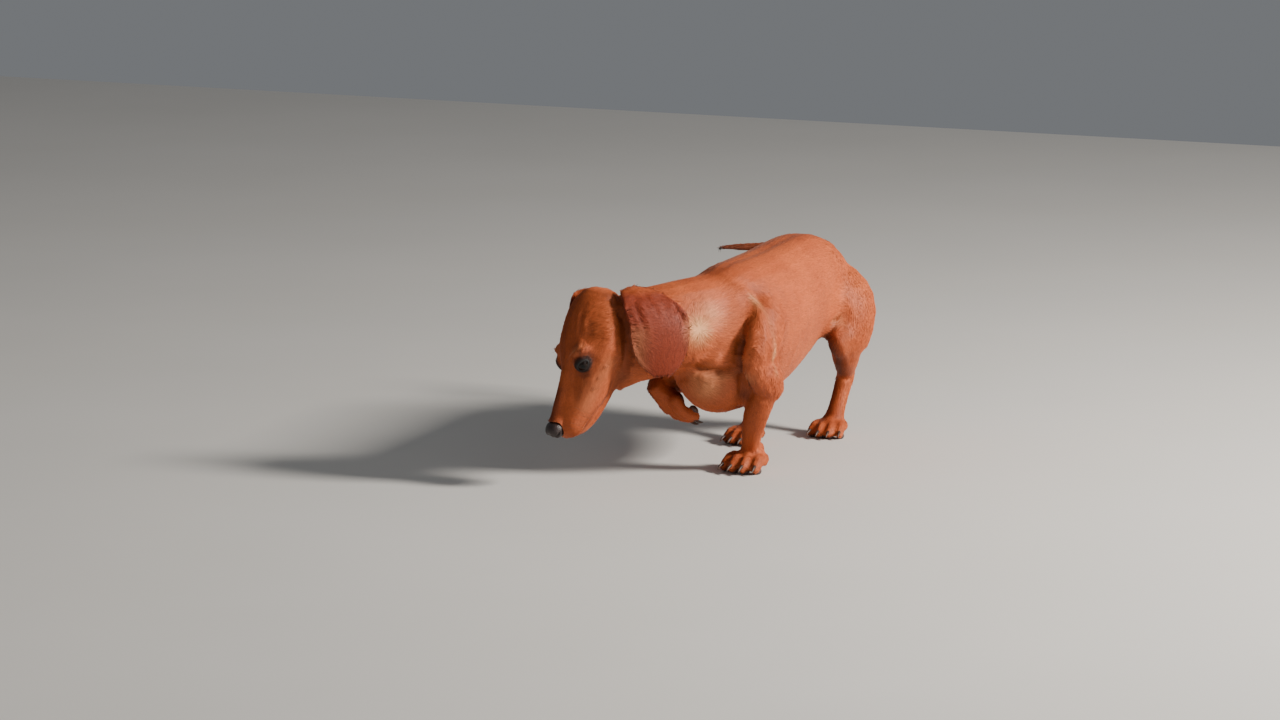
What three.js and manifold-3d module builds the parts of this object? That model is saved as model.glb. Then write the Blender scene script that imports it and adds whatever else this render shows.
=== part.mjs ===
// A smooth-haired dachshund at life size, in mid-step with its nose to the ground, in millimetres.
// +X runs from rump to head, +Y to the animal's left and +Z up. The floor is at Z 0.
// Flesh is built as lofts of rings along each bone, joined where they grow into each other,
// and parted into named pieces that keep a thin gap.
import * as THREE from 'three';
import { mergeVertices } from 'three/addons/utils/BufferGeometryUtils.js';
import Module from 'manifold-3d';

const wasm = await Module();
wasm.setup();

// Driving dimensions
const GAP = 0.3; // between faces that touch
const WITHERS = 236; // height of the back over the shoulders
const CHEST_WIDTH = 126;
const EYE_RADIUS = 10.5;
const EAR_THICKNESS = 3;
const FOREPAW_WIDTH = 44;
const HINDPAW_SCALE = 0.9;
const CLAW_LENGTH = 10;

// Pose: where the head is held, and where each foot stands
const HEAD_AT = new THREE.Vector3(251, -114, 139); // midway between the eyes
const HEAD_YAW = -22; // degrees, turned to the animal's right
const HEAD_PITCH = 66; // degrees, muzzle down
const HEAD_ROLL = 17; // degrees, left side higher

const rad = THREE.MathUtils.degToRad;
const vec = (x, y, z) => new THREE.Vector3(x, y, z);

// Solids

// Closed surface over rings that turn from the side to the top, with a pole at each end.
// Rings that turn the other way are marked as such.
function skinOver(rings, startPole, endPole, otherWay = false) {
  const sides = rings[0].length;
  const at = (ring, side) => 1 + ring * sides + (side % sides);
  const last = rings.length - 1;
  const end = 1 + rings.length * sides;
  const index = [];
  for (let side = 0; side < sides; side++) {
    index.push(0, at(0, side + 1), at(0, side));
    for (let ring = 0; ring < last; ring++) {
      index.push(at(ring, side), at(ring, side + 1), at(ring + 1, side + 1));
      index.push(at(ring, side), at(ring + 1, side + 1), at(ring + 1, side));
    }
    index.push(end, at(last, side), at(last, side + 1));
  }
  const points = [startPole, ...rings.flat(), endPole];
  const geometry = new THREE.BufferGeometry().setFromPoints(points);
  geometry.setIndex(otherWay ? index.reverse() : index);
  return geometry;
}

function toSolid(geometry) {
  const bare = geometry.clone();
  bare.deleteAttribute('normal');
  bare.deleteAttribute('uv');
  const merged = mergeVertices(bare, 1e-4);
  return new wasm.Manifold(new wasm.Mesh({
    numProp: 3,
    vertProperties: merged.attributes.position.array,
    triVerts: new Uint32Array(merged.index.array),
  }));
}

function largest(solid) {
  const bodies = solid.decompose();
  return bodies.reduce((best, body) => (body.volume() > best.volume() ? body : best));
}

const join = (...solids) => solids.reduce((whole, next) => whole.add(next));
const carve = (solid, ...others) => others.reduce((left, other) => left.subtract(other), solid);

// Cuts a solid in two across a plane through a point, leaving the gap: [ahead, behind].
function partAt(solid, point, direction) {
  const normal = direction.clone().normalize();
  const offset = normal.dot(point);
  const ahead = solid.trimByPlane(normal.toArray(), offset + GAP / 2);
  const behind = solid.trimByPlane(normal.clone().negate().toArray(), GAP / 2 - offset);
  return [ahead, behind];
}

// Lofts

// A smooth run of values through the rows of a table, t from 0 to 1.
function smoothRows(rows, columns) {
  const curve = new THREE.CatmullRomCurve3(
    rows.map((row) => vec(...columns.map((name) => row[name] ?? 0))), false, 'catmullrom', 0.5);
  return (t) => curve.getPoint(t);
}

// Loft along a limb. Each row gives the centre x, y, z, the half width to each side, and the
// half depths on the front (or upper) and back (or under) of the limb. front is the direction
// that the front faces.
const END_PUSH = 0.4; // how far the last ring of a rounded end stands off, in half widths

function limb(rows, { front, sides = 14, steps = 2, grow = 0 }) {
  const centre = new THREE.CatmullRomCurve3(
    rows.map((row) => vec(...row.at)), false, 'catmullrom', 0.5);
  const size = smoothRows(
    rows.map(({ half }) => ({ side: half[0], front: half[1], back: half[2] })),
    ['side', 'front', 'back']);
  // Section at t, shrunk and moved along by a share of its half width where it rounds an end.
  const section = (t, shrink = 1, push = 0) => {
    const along = centre.getTangent(t);
    const across = front.clone().cross(along).normalize();
    const ahead = along.clone().cross(across);
    const half = size(t).addScalar(grow);
    const middle = centre.getPoint(t).addScaledVector(along, push * half.x);
    return Array.from({ length: sides }, (_, side) => {
      const angle = (2 * Math.PI * side) / sides;
      const lift = Math.sin(angle);
      const depth = lift > 0 ? half.y : half.z;
      return middle.clone()
        .addScaledVector(across, shrink * half.x * Math.cos(angle))
        .addScaledVector(ahead, shrink * depth * lift);
    });
  };
  const count = (rows.length - 1) * steps;
  const body = Array.from({ length: count + 1 }, (_, ring) => section(ring / count));
  const rings = [section(0, 0.72, -END_PUSH), ...body, section(1, 0.72, END_PUSH)];
  const pole = (t, sign) => centre.getPoint(t)
    .addScaledVector(centre.getTangent(t), sign * (1.5 * END_PUSH * size(t).x + grow));
  return toSolid(skinOver(rings, pole(0, -1), pole(1, 1)));
}

// Trunk

const TRUNK = [
  // x, sideways centre, top of the back, level of the widest girth, underline, half width
  { x: -205, mid: -6, top: 190, level: 174, under: 152, wide: 10 },
  { x: -196, mid: -5, top: 200, level: 176, under: 142, wide: 26 },
  { x: -175, mid: -3, top: 217.5, level: 178, under: 130, wide: 41 },
  { x: -140, mid: -1, top: 237, level: 184, under: 119, wide: 48 },
  { x: -100, mid: 1, top: 244.5, level: 184, under: 103, wide: 49 },
  { x: -55, mid: 2, top: 243.5, level: 176, under: 89, wide: 53 },
  { x: -5, mid: 2, top: 239.5, level: 166, under: 77.5, wide: 59 },
  { x: 45, mid: 1, top: 237, level: 157, under: 70, wide: CHEST_WIDTH / 2 },
  { x: 90, mid: -1, top: WITHERS, level: 152, under: 67, wide: CHEST_WIDTH / 2 - 3 },
  { x: 125, mid: -4, top: 228, level: 146, under: 69, wide: 52 },
  { x: 150, mid: -8, top: 206, level: 140, under: 79, wide: 41 },
  { x: 168, mid: -11, top: 176, level: 132, under: 96, wide: 26 },
  { x: 176, mid: -13, top: 150, level: 128, under: 112, wide: 10 },
];
const EGG = 0.12; // how much wider the ribs are above the girth line than below it

function trunkSolid(grow = 0) {
  const sides = 26;
  const steps = 2;
  const place = smoothRows(TRUNK, ['x', 'mid', 'level']);
  const size = smoothRows(TRUNK, ['wide', 'top', 'under']);
  const count = (TRUNK.length - 1) * steps;
  const rings = [];
  for (let ring = 0; ring <= count; ring++) {
    const { x, y: mid, z: level } = place(ring / count);
    const { x: wide, y: top, z: under } = size(ring / count);
    rings.push(Array.from({ length: sides }, (_, side) => {
      const angle = (2 * Math.PI * side) / sides;
      const lift = Math.sin(angle);
      const reach = (lift > 0 ? top - level : level - under) + grow;
      return vec(x, mid + (wide + grow) * Math.cos(angle) * (1 + EGG * lift), level + reach * lift);
    }));
  }
  const first = TRUNK[0];
  const final = TRUNK[TRUNK.length - 1];
  return toSolid(skinOver(rings,
    vec(first.x - 3 - grow, first.mid, first.level),
    vec(final.x + 3 + grow, final.mid, final.level)));
}

// Neck and tail

const NECK = [
  { at: [88, -3, 170], half: [46, 52, 56] },
  { at: [128, -16, 170], half: [47, 56, 58] },
  { at: [168, -40, 168], half: [44, 54, 52] },
  { at: [204, -68, 166], half: [34, 50, 54] },
  { at: [226, -89, 159], half: [25, 44, 57] },
];
const neckSolid = (grow = 0) => limb(NECK, { front: vec(0, 0, 1), sides: 20, grow });

const TAIL = [
  { at: [-174, -3, 206], half: [16, 14, 16] },
  { at: [-206, -9, 210], half: [12.5, 12, 12.5] },
  { at: [-232, -30, 209], half: [9.8, 9.8, 9.8] },
  { at: [-243, -64, 206], half: [8, 8, 8] },
  { at: [-236, -98, 204], half: [6.2, 6.2, 6.2] },
  { at: [-218, -128, 204], half: [4.5, 4.5, 4.5] },
  { at: [-206, -143, 204], half: [2.4, 2.4, 2.4] },
];
const tailSolid = () => limb(TAIL, { front: vec(0, 0, 1), sides: 10 });

// Head, in its own frame: x towards the nose from the line of the eyes, y left, z to the crown

const SKULL = [
  // x, crown height, half width near the crown, level of the cheekbones, half width there,
  // half width near the bottom, bottom: the throat, and ahead of the cheeks the edge of the
  // lips, between which the lower jaw sits
  { x: -87, top: 8, crown: 8, level: -6, wide: 17, low: 11, bottom: -18 },
  { x: -80, top: 18, crown: 15, level: -3, wide: 27, low: 17, bottom: -24 },
  { x: -64, top: 26.5, crown: 20, level: -3, wide: 36, low: 25.5, bottom: -32 },
  { x: -44, top: 29, crown: 23, level: -6, wide: 40.5, low: 29.5, bottom: -39 },
  { x: -24, top: 28, crown: 24, level: -9, wide: 40, low: 32, bottom: -44 },
  { x: -15, top: 26.2, crown: 22.8, level: -9.5, wide: 38.2, low: 31, bottom: -44 },
  { x: -7, top: 23.7, crown: 20.5, level: -10, wide: 35.8, low: 29.4, bottom: -43.4 },
  { x: 1, top: 20.7, crown: 17, level: -10, wide: 33.2, low: 28.2, bottom: -43 },
  { x: 10, top: 17.7, crown: 14, level: -10, wide: 30.3, low: 26.8, bottom: -42.5 },
  { x: 24, top: 15, crown: 10, level: -11, wide: 26.5, low: 24, bottom: -42 },
  { x: 42, top: 13.5, crown: 9.5, level: -11, wide: 23.5, low: 21.5, bottom: -40.5 },
  { x: 58, top: 12.5, crown: 9, level: -10, wide: 21, low: 19, bottom: -37 },
  { x: 72, top: 11, crown: 8.5, level: -9, wide: 18.5, low: 16.5, bottom: -30.5 },
  { x: 79, top: 8.5, crown: 7.5, level: -9, wide: 15.5, low: 13.5, bottom: -24 },
  { x: 83, top: 3, crown: 4, level: -9, wide: 9, low: 7.5, bottom: -16 },
];
// Each brow swells out over its eye, as a bell about its middle.
const BROW = { at: vec(-5.5, 26.5, 13), spread: vec(9, 10, 11), height: 13, lean: vec(0, 0.68, 0.73) };

function withBrow(point) {
  const side = Math.sign(point.y);
  const away = vec(point.x, Math.abs(point.y), point.z).sub(BROW.at).divide(BROW.spread);
  const swell = BROW.height * Math.exp(-away.lengthSq());
  return point.clone().add(BROW.lean.clone().multiply(vec(1, side, 1)).multiplyScalar(swell));
}

const SHOULDER_SHARE = 0.32; // how far down from the crown, and up from the bottom, the corners of a section sit

// Section of the head as a smooth ring through its crown, cheekbones and jaw.
function headSection({ x, top, crown, level, wide, low, bottom }, sides) {
  const upper = top - (top - level) * SHOULDER_SHARE;
  const lower = bottom + (level - bottom) * SHOULDER_SHARE;
  const left = [[wide, level], [crown, upper]];
  const under = [[low, lower]];
  const corners = [
    ...left, [0, top], [-crown, upper], [-wide, level], [-low, lower], [0, bottom], ...under,
  ];
  const ring = new THREE.CatmullRomCurve3(
    corners.map(([y, z]) => vec(x, y, z)), true, 'catmullrom', 0.5);
  return Array.from({ length: sides }, (_, side) => withBrow(ring.getPoint(side / sides)));
}

function skullSolid(grow = 0) {
  const sides = 32;
  const steps = 2;
  const upper = smoothRows(SKULL, ['x', 'top', 'crown']);
  const middle = smoothRows(SKULL, ['level', 'wide', 'low']);
  const lower = smoothRows(SKULL, ['bottom']);
  const count = (SKULL.length - 1) * steps;
  const rings = [];
  for (let ring = 0; ring <= count; ring++) {
    const t = ring / count;
    const { x, y: top, z: crown } = upper(t);
    const { x: level, y: wide, z: low } = middle(t);
    rings.push(headSection({
      x, level,
      top: top + grow, crown: crown + grow, wide: wide + grow, low: low + grow,
      bottom: lower(t).x - grow,
    }, sides));
  }
  const first = SKULL[0];
  const final = SKULL[SKULL.length - 1];
  return toSolid(skinOver(rings,
    vec(first.x - 3 - grow, 0, first.level), vec(final.x + 1 + grow, 0, final.level)));
}

const JAW = [
  { at: [-10, 0, -38], half: [17, 8, 14] },
  { at: [10, 0, -38], half: [17.5, 9, 14.5] },
  { at: [34, 0, -35.5], half: [15.5, 8, 13] },
  { at: [54, 0, -32], half: [13, 7, 10.5] },
  { at: [69, 0, -27], half: [10, 5, 7] },
];
const jawSolid = (grow = 0) => limb(JAW, { front: vec(0, 0, 1), sides: 16, grow });

const EYE_AT = vec(0, 21.5, 3.5);
const EYE_GAZE = vec(0.55, 0.8, 0.26).normalize();
const LID = 1.7; // thickness of the lids over the eyeball
const EYE_OPENING = { long: 9, high: 7 }; // half sizes of the almond between the lids

const ball = (radius, turns, rows) => new THREE.SphereGeometry(radius, turns, rows);
const atEye = (geometry, side) => toSolid(geometry.translate(EYE_AT.x, side * EYE_AT.y, EYE_AT.z));
const eyeSolid = (side) => atEye(ball(EYE_RADIUS, 14, 9), side);
const socketSolid = (side) => atEye(ball(EYE_RADIUS + GAP, 14, 9), side);
const lidSolid = (side) => atEye(ball(EYE_RADIUS + LID, 14, 9), side);

// Almond prism along the gaze, which opens the lids.
function openingSolid(side) {
  const { long, high } = EYE_OPENING;
  const almond = new THREE.Shape();
  almond.moveTo(-long, 0);
  almond.quadraticCurveTo(-0.2 * long, 1.9 * high, long, 0.12 * high);
  almond.quadraticCurveTo(0.15 * long, -1.75 * high, -long, 0);
  const prism = new THREE.ExtrudeGeometry(almond, { depth: 24, bevelEnabled: false, curveSegments: 7 });
  const gaze = EYE_GAZE.clone().multiply(vec(1, side, 1));
  const lengthwise = gaze.clone().cross(vec(0, 0, 1)).normalize().multiplyScalar(side);
  const upwards = gaze.clone().cross(lengthwise).multiplyScalar(-1);
  const turn = new THREE.Matrix4().makeBasis(upwards.clone().cross(gaze), upwards, gaze);
  prism.applyMatrix4(turn);
  return atEye(prism, side);
}

const NOSE = { at: vec(79, 0, 1.5), half: vec(8.5, 11.5, 10) };
const NOSTRIL = { at: vec(87, 5.4, 1.5), half: vec(5, 2.1, 3) };

function ellipsoid({ at, half }, side = 1, grow = 0, turns = 14, rows = 9) {
  const ball = new THREE.SphereGeometry(1, turns, rows);
  ball.scale(half.x + grow, half.y + grow, half.z + grow);
  ball.translate(at.x, side * at.y, at.z);
  return toSolid(ball);
}

function noseSolid() {
  return carve(ellipsoid(NOSE),
    ellipsoid(NOSTRIL, 1, 0, 8, 5), ellipsoid(NOSTRIL, -1, 0, 8, 5));
}

// Ears. Each leaf hangs over the neck: r runs rearwards and s down from the front of its root.

const EAR_EDGES = [
  { front: [4, -6], rear: [22, -9.5] },
  { front: [1, 10], rear: [45, -4] },
  { front: [4, 27], rear: [64, 8] },
  { front: [4.5, 42], rear: [74, 23] },
  { front: [6, 55], rear: [75.5, 42] },
  { front: [12, 69], rear: [71.5, 60] },
  { front: [22, 81], rear: [64, 75] },
  { front: [33, 88], rear: [51, 87] },
];
const EAR_HEADING = -40; // degrees: the ears hang along the neck
const EAR_CUP = 5; // how far the middle of a leaf stands out past its edges
const EAR_LIFT = 4; // how far the rear edge stands off the neck
const EAR_FALL = 18; // over this height a leaf turns from the root's slope to hang straight
const EARS = {
  left: { side: 1, root: vec(228.3, -81.9, 214.3), drape: 41 },
  right: { side: -1, root: vec(224, -135, 206), drape: 12 },
};

function earSolid({ side, root, drape }) {
  const heading = rad(EAR_HEADING);
  const rearwards = vec(-Math.cos(heading), -Math.sin(heading), 0);
  const outwards = vec(-Math.sin(heading), Math.cos(heading), 0).multiplyScalar(side);
  const edge = (end) => smoothRows(EAR_EDGES.map((row) => ({ r: row[end][0], s: row[end][1] })), ['r', 's']);
  const front = edge('front');
  const rear = edge('rear');
  const rows = 14;
  const columns = 8;
  const leaf = (u, v, depth) => {
    const place = front(u).lerp(rear(u), v);
    const cup = EAR_CUP * Math.sin(Math.PI * v) * Math.sin(Math.PI * (0.2 + 0.8 * u));
    const fall = drape * (1 - Math.exp(-(place.y + 11) / EAR_FALL)) + EAR_LIFT * v;
    return root.clone()
      .addScaledVector(rearwards, place.x)
      .addScaledVector(vec(0, 0, -1), place.y)
      .addScaledVector(outwards, fall + cup - depth);
  };
  const across = (u, depth) => Array.from({ length: columns + 1 }, (_, c) => leaf(u, c / columns, depth));
  const rings = Array.from({ length: rows + 1 }, (_, row) => [
    ...across(row / rows, 0), ...across(row / rows, EAR_THICKNESS).reverse(),
  ]);
  const mean = (ring) => ring.reduce((sum, p) => sum.add(p), vec(0, 0, 0)).divideScalar(ring.length);
  return toSolid(skinOver(rings, mean(rings[0]), mean(rings[rows]), side > 0));
}

// Legs

const SHOULDER_BLADE = [
  { at: [80, 31, 204], half: [13, 20, 26] },
  { at: [100, 48, 180], half: [17, 30, 36] },
  { at: [128, 52, 150], half: [18, 30, 36] },
  { at: [143, 47, 130], half: [15, 21, 26] },
];
const STANDING_ARM = [
  { at: [143, 46, 138], half: [15, 20, 26] },
  { at: [126, 52, 122], half: [17, 24, 30] },
  { at: [106, 54, 104], half: [17, 20, 25] },
  { at: [98, 51, 92], half: [15, 17, 18] },
];
const STANDING_FOREARM = [
  { at: [104, 50, 106], half: [14, 17, 24] },
  { at: [106, 45, 86], half: [15.5, 17, 23] },
  { at: [104, 37, 63], half: [14, 15, 19] },
  { at: [97, 30, 42], half: [11.5, 12.5, 14] },
  { at: [91, 26, 26], half: [11, 11.5, 11] },
  { at: [91, 25, 14], half: [13, 12, 11] },
];
const LIFTED_ARM = [
  { at: [143, -45, 138], half: [15, 20, 26] },
  { at: [126, -53, 122], half: [17, 24, 28] },
  { at: [106, -59, 108], half: [17, 20, 24] },
  { at: [94, -60, 100], half: [15, 17, 18] },
];
const LIFTED_FOREARM = [
  { at: [76, -60, 104], half: [13, 17, 16] },
  { at: [94, -60, 100], half: [15, 18, 19] },
  { at: [118, -61, 99], half: [13.5, 15, 15] },
  { at: [138, -63, 100], half: [12, 12.5, 12.5] },
  { at: [150, -66, 99], half: [11, 11, 11] },
];
const LEFT_THIGH = [
  { at: [-150, 29, 196], half: [14, 24, 26] },
  { at: [-151, 42, 174], half: [23, 42, 40] },
  { at: [-148, 50, 150], half: [25, 42, 44] },
  { at: [-134, 52, 124], half: [21, 30, 42] },
  { at: [-122, 51, 108], half: [15, 17, 26] },
];
const LEFT_GASKIN = [
  { at: [-112, 51, 130], half: [17, 18, 24] },
  { at: [-129, 49, 110], half: [17, 19, 36] },
  { at: [-148, 43, 90], half: [14.5, 15, 28] },
  { at: [-164, 37, 76], half: [11.5, 12, 17] },
  { at: [-170, 35, 70], half: [9, 10, 10] },
];
const LEFT_HOCK = [
  { at: [-180, 36, 86], half: [7.5, 8, 6] },
  { at: [-171, 35, 70], half: [11, 13, 12] },
  { at: [-161, 33, 50], half: [10.5, 10, 9.5] },
  { at: [-150, 31, 28], half: [11, 10, 10] },
  { at: [-144, 30, 14], half: [13, 11, 10] },
];
const RIGHT_THIGH = [
  { at: [-144, -30, 196], half: [14, 22, 24] },
  { at: [-136, -42, 174], half: [23, 42, 38] },
  { at: [-114, -51, 150], half: [24, 36, 42] },
  { at: [-90, -54, 134], half: [20, 26, 36] },
  { at: [-74, -54, 122], half: [15, 16, 24] },
];
const RIGHT_GASKIN = [
  { at: [-72, -54, 138], half: [17, 18, 24] },
  { at: [-82, -52, 116], half: [17, 19, 26] },
  { at: [-96, -48, 92], half: [14, 14, 20] },
  { at: [-108, -45, 72], half: [10.5, 11, 13] },
  { at: [-112, -44, 64], half: [9, 9, 10] },
];
const RIGHT_HOCK = [
  { at: [-120, -45, 76], half: [7.5, 10, 5] },
  { at: [-112, -45, 63], half: [10, 12, 10] },
  { at: [-95, -45, 44], half: [10.5, 10, 9.5] },
  { at: [-76, -44, 25], half: [11.5, 10, 10] },
  { at: [-66, -43, 14], half: [13, 11, 10] },
];

// Rounded points of the shoulder and the stifle
const SHOULDER_POINT = { at: vec(139, 46, 134), half: vec(18, 17, 21) };
const STIFLES = {
  left: { at: vec(-113, 49.5, 121), half: vec(18, 16, 23) },
  right: { at: vec(-71, -52.5, 131), half: vec(18, 16, 23) },
};

const forward = vec(1, 0, 0);
const flesh = (rows, options = {}) => limb(rows, { front: forward, ...options });

// Paws, in their own frame: x towards the toes, y left, z up from the ground

const TOES = [
  { y: -0.36, reach: -6, turn: -9 },
  { y: -0.13, reach: 0, turn: -2.5 },
  { y: 0.13, reach: 0, turn: 2.5 },
  { y: 0.36, reach: -6, turn: 9 },
];

function toeRows({ y, reach, turn }) {
  const spread = y * FOREPAW_WIDTH;
  const fan = Math.tan(rad(turn));
  const along = (x, z, half) => ({ at: [x + reach, spread + fan * x, z], half });
  return [
    along(-8, 12, [6, 8, 8]),
    along(6, 15, [6.2, 8, 8]),
    along(16, 13.5, [6.5, 8.2, 9]),
    along(24, 8.5, [6.3, 7, 9.6]),
    along(29, 5.6, [4.4, 4.2, 6.4]),
  ];
}

const PAW_PAD = { at: vec(-5, 0, 6), half: vec(14, 15, 8) };
const PASTERN = [
  { at: [-16, 0, 26], half: [13, 12, 12] },
  { at: [-10, 0, 16], half: [16, 14, 14] },
  { at: [4, 0, 12], half: [17, 13, 12] },
];
// The lifted paw hangs in line with its pastern.
const LIFTED_PASTERN = [
  { at: [-34, 0, 17], half: [11, 11, 11] },
  { at: [-18, 0, 15], half: [13, 13, 12] },
  { at: [4, 0, 12], half: [17, 13, 12] },
];

// The whole paw, standing on the flat of its pads.
function pawSolid(grow = 0, pasternRows = PASTERN) {
  const toes = TOES.map((toe) => limb(toeRows(toe), {
    front: vec(0, 0, 1), sides: 7, steps: 1, grow,
  }));
  const pastern = limb(pasternRows, { front: vec(0, 0, 1), sides: 8, steps: 1, grow });
  return join(...toes, pastern, ellipsoid(PAW_PAD, 1, grow, 8, 5))
    .trimByPlane([0, 0, 1], -grow);
}

// Claws grow from the toe tips, and curve forwards and down to just above the ground.
function clawSolid(toe) {
  const spread = toe.y * FOREPAW_WIDTH;
  const fan = Math.tan(rad(toe.turn));
  const start = 26 + toe.reach;
  const along = (share, drop, half) => ({
    at: [start + share * CLAW_LENGTH, spread + fan * (26 + share * CLAW_LENGTH), 9.5 - drop], half,
  });
  return limb([
    along(0.1, 0, [2.2, 2.7, 2.7]),
    along(0.7, 1.6, [1.8, 2.1, 2.1]),
    along(1.2, 5, [0.6, 0.7, 0.7]),
  ], { front: vec(0, 0, 1), sides: 5, steps: 1 });
}

// Placement of a frame: where it stands, its heading, and how far it is pitched down and rolled.
function frameAt(at, { yaw = 0, pitch = 0, roll = 0, scale = 1 } = {}) {
  const turn = new THREE.Euler(rad(roll), rad(pitch), rad(yaw), 'ZYX');
  return new THREE.Matrix4().compose(
    at, new THREE.Quaternion().setFromEuler(turn), vec(scale, scale, scale));
}

const placed = (solid, matrix) => solid.transform(matrix.elements);

const HEAD_FRAME = frameAt(HEAD_AT, { yaw: HEAD_YAW, pitch: HEAD_PITCH, roll: HEAD_ROLL });

const PAWS = {
  forepaw_left: frameAt(vec(94, 24, 0), { yaw: -4 }),
  forepaw_right: frameAt(vec(123.3, -46.6, 84.3), { yaw: 146, pitch: 51, roll: 180 }),
  hindpaw_left: frameAt(vec(-137, 29, 0), { yaw: 3, scale: HINDPAW_SCALE }),
  hindpaw_right: frameAt(vec(-56, -43, 0), { yaw: -6, scale: HINDPAW_SCALE }),
};

function pawOf(name, grow = 0) {
  const pastern = name === 'forepaw_right' ? LIFTED_PASTERN : PASTERN;
  return placed(pawSolid(grow, pastern), PAWS[name]);
}

// Materials

const finish = (color, roughness) => new THREE.MeshStandardMaterial({ color, roughness, metalness: 0 });
const COAT = finish(0xb4602f, 0.62);
const EAR_COAT = finish(0x8f3f22, 0.6);
const PAW_COAT = finish(0xb86a3c, 0.65);
const NOSE_LEATHER = finish(0x2e1d1a, 0.4);
const EYE = finish(0x140b08, 0.08);
const HORN = finish(0x2a201c, 0.35);

function toMesh(name, solid, material) {
  const mesh = solid.getMesh();
  const stride = mesh.numProp;
  const points = Array.from({ length: mesh.numVert }, (_, i) => vec(
    mesh.vertProperties[i * stride],
    mesh.vertProperties[i * stride + 1],
    mesh.vertProperties[i * stride + 2]));
  const geometry = new THREE.BufferGeometry().setFromPoints(points);
  geometry.setIndex(Array.from(mesh.triVerts));
  geometry.computeVertexNormals();
  const part = new THREE.Mesh(geometry, material);
  part.name = name;
  return part;
}

// Assembly

function buildDog() {
  const dog = new THREE.Group();
  const add = (name, solid, material = COAT) => {
    const part = toMesh(name, largest(solid), material);
    dog.add(part);
    return part;
  };

  const trunk = trunkSolid();
  const trunkGrown = trunkSolid(GAP);
  const [chest, behindChest] = partAt(trunk, vec(0, 0, 0), forward);
  const [abdomen, rump] = partAt(behindChest, vec(-112, 0, 0), forward);
  add('chest', chest);
  add('abdomen', abdomen);
  add('rump', rump);

  const skull = placed(skullSolid(), HEAD_FRAME);
  const skullGrown = placed(skullSolid(GAP), HEAD_FRAME);
  const jawGrown = placed(jawSolid(GAP), HEAD_FRAME);
  const nose = placed(noseSolid(), HEAD_FRAME);
  const noseGrown = placed(ellipsoid(NOSE, 1, GAP), HEAD_FRAME);
  const sockets = [1, -1].map((side) => placed(socketSolid(side), HEAD_FRAME));
  const lids = [1, -1].map((side) => placed(lidSolid(side), HEAD_FRAME));
  const openings = [1, -1].map((side) => placed(openingSolid(side), HEAD_FRAME));
  const head = carve(join(skull, ...lids), jawGrown, noseGrown, ...sockets, ...openings);
  const jaw = carve(placed(jawSolid(), HEAD_FRAME), noseGrown);
  add('head', head);
  add('lower_jaw', jaw);
  add('nose', nose, NOSE_LEATHER);
  add('eye_left', placed(eyeSolid(1), HEAD_FRAME), EYE);
  add('eye_right', placed(eyeSolid(-1), HEAD_FRAME), EYE);

  const neck = carve(neckSolid(), trunkGrown, skullGrown, jawGrown);
  const neckGrown = neckSolid(GAP);
  add('neck', neck);
  add('tail', carve(tailSolid(), trunkGrown));

  add('ear_left', carve(earSolid(EARS.left), skullGrown, neckGrown, trunkGrown), EAR_COAT);
  add('ear_right', carve(earSolid(EARS.right), skullGrown, neckGrown, trunkGrown), EAR_COAT);

  addForeleg(add, 'left', trunkGrown, neckGrown);
  addForeleg(add, 'right', trunkGrown, neckGrown);
  addHindleg(add, 'left', trunkGrown);
  addHindleg(add, 'right', trunkGrown);
  return dog;
}

const mirrored = (rows) => rows.map(({ at: [x, y, z], half }) => ({ at: [x, -y, z], half }));

// The forearm meets the upper arm above and the paw below.
function addForeleg(add, side, trunkGrown, neckGrown) {
  const left = side === 'left';
  const upperLeg = (grow) => join(
    flesh(left ? SHOULDER_BLADE : mirrored(SHOULDER_BLADE), { grow }),
    flesh(left ? STANDING_ARM : LIFTED_ARM, { grow }),
    ellipsoid(SHOULDER_POINT, left ? 1 : -1, grow, 12, 6));
  const forearm = flesh(left ? STANDING_FOREARM : LIFTED_FOREARM);
  const name = `forepaw_${side}`;
  add(`shoulder_${side}`, carve(upperLeg(0), trunkGrown, neckGrown));
  add(`forearm_${side}`, carve(forearm, upperLeg(GAP), trunkGrown, neckGrown, pawOf(name, GAP)));
  add(name, carve(pawOf(name), upperLeg(GAP), trunkGrown, neckGrown), PAW_COAT);
  addClaws(add, name);
}

function addHindleg(add, side, trunkGrown) {
  const left = side === 'left';
  const hockRows = left ? LEFT_HOCK : RIGHT_HOCK;
  const name = `hindpaw_${side}`;
  const thighWhole = join(
    flesh(left ? LEFT_THIGH : RIGHT_THIGH),
    flesh(left ? LEFT_GASKIN : RIGHT_GASKIN),
    ellipsoid(STIFLES[side], 1, 0, 12, 6));
  const hock = flesh(hockRows, { sides: 12 });
  const hockGrown = flesh(hockRows, { sides: 12, grow: GAP });
  add(`thigh_${side}`, carve(thighWhole, trunkGrown, hockGrown));
  add(`hock_${side}`, carve(hock, pawOf(name, GAP)));
  add(name, pawOf(name), PAW_COAT);
  addClaws(add, name);
}

function addClaws(add, paw) {
  const pawGrown = pawOf(paw, GAP);
  TOES.forEach((toe, i) => {
    add(`${paw}_claw_${i + 1}`, carve(placed(clawSolid(toe), PAWS[paw]), pawGrown), HORN);
  });
}

// The part's origin is at the middle of its box, on the floor.
const dog = buildDog();
const box = new THREE.Box3().setFromObject(dog);
const centre = box.getCenter(vec(0, 0, 0));
dog.position.set(-centre.x, -centre.y, 0);

const part = new THREE.Group();
part.add(dog);

export default part;
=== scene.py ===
# A smooth-haired dachshund at life size, sniffing the ground in mid-step. Metres, Z up.
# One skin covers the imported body. Eyes, lids, nose, claws, pads, whiskers and coat are pieces on it.
# Tables of places are in millimetres, in the animal's own frame: X forward, Y to its left, Z up.
import math

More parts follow.
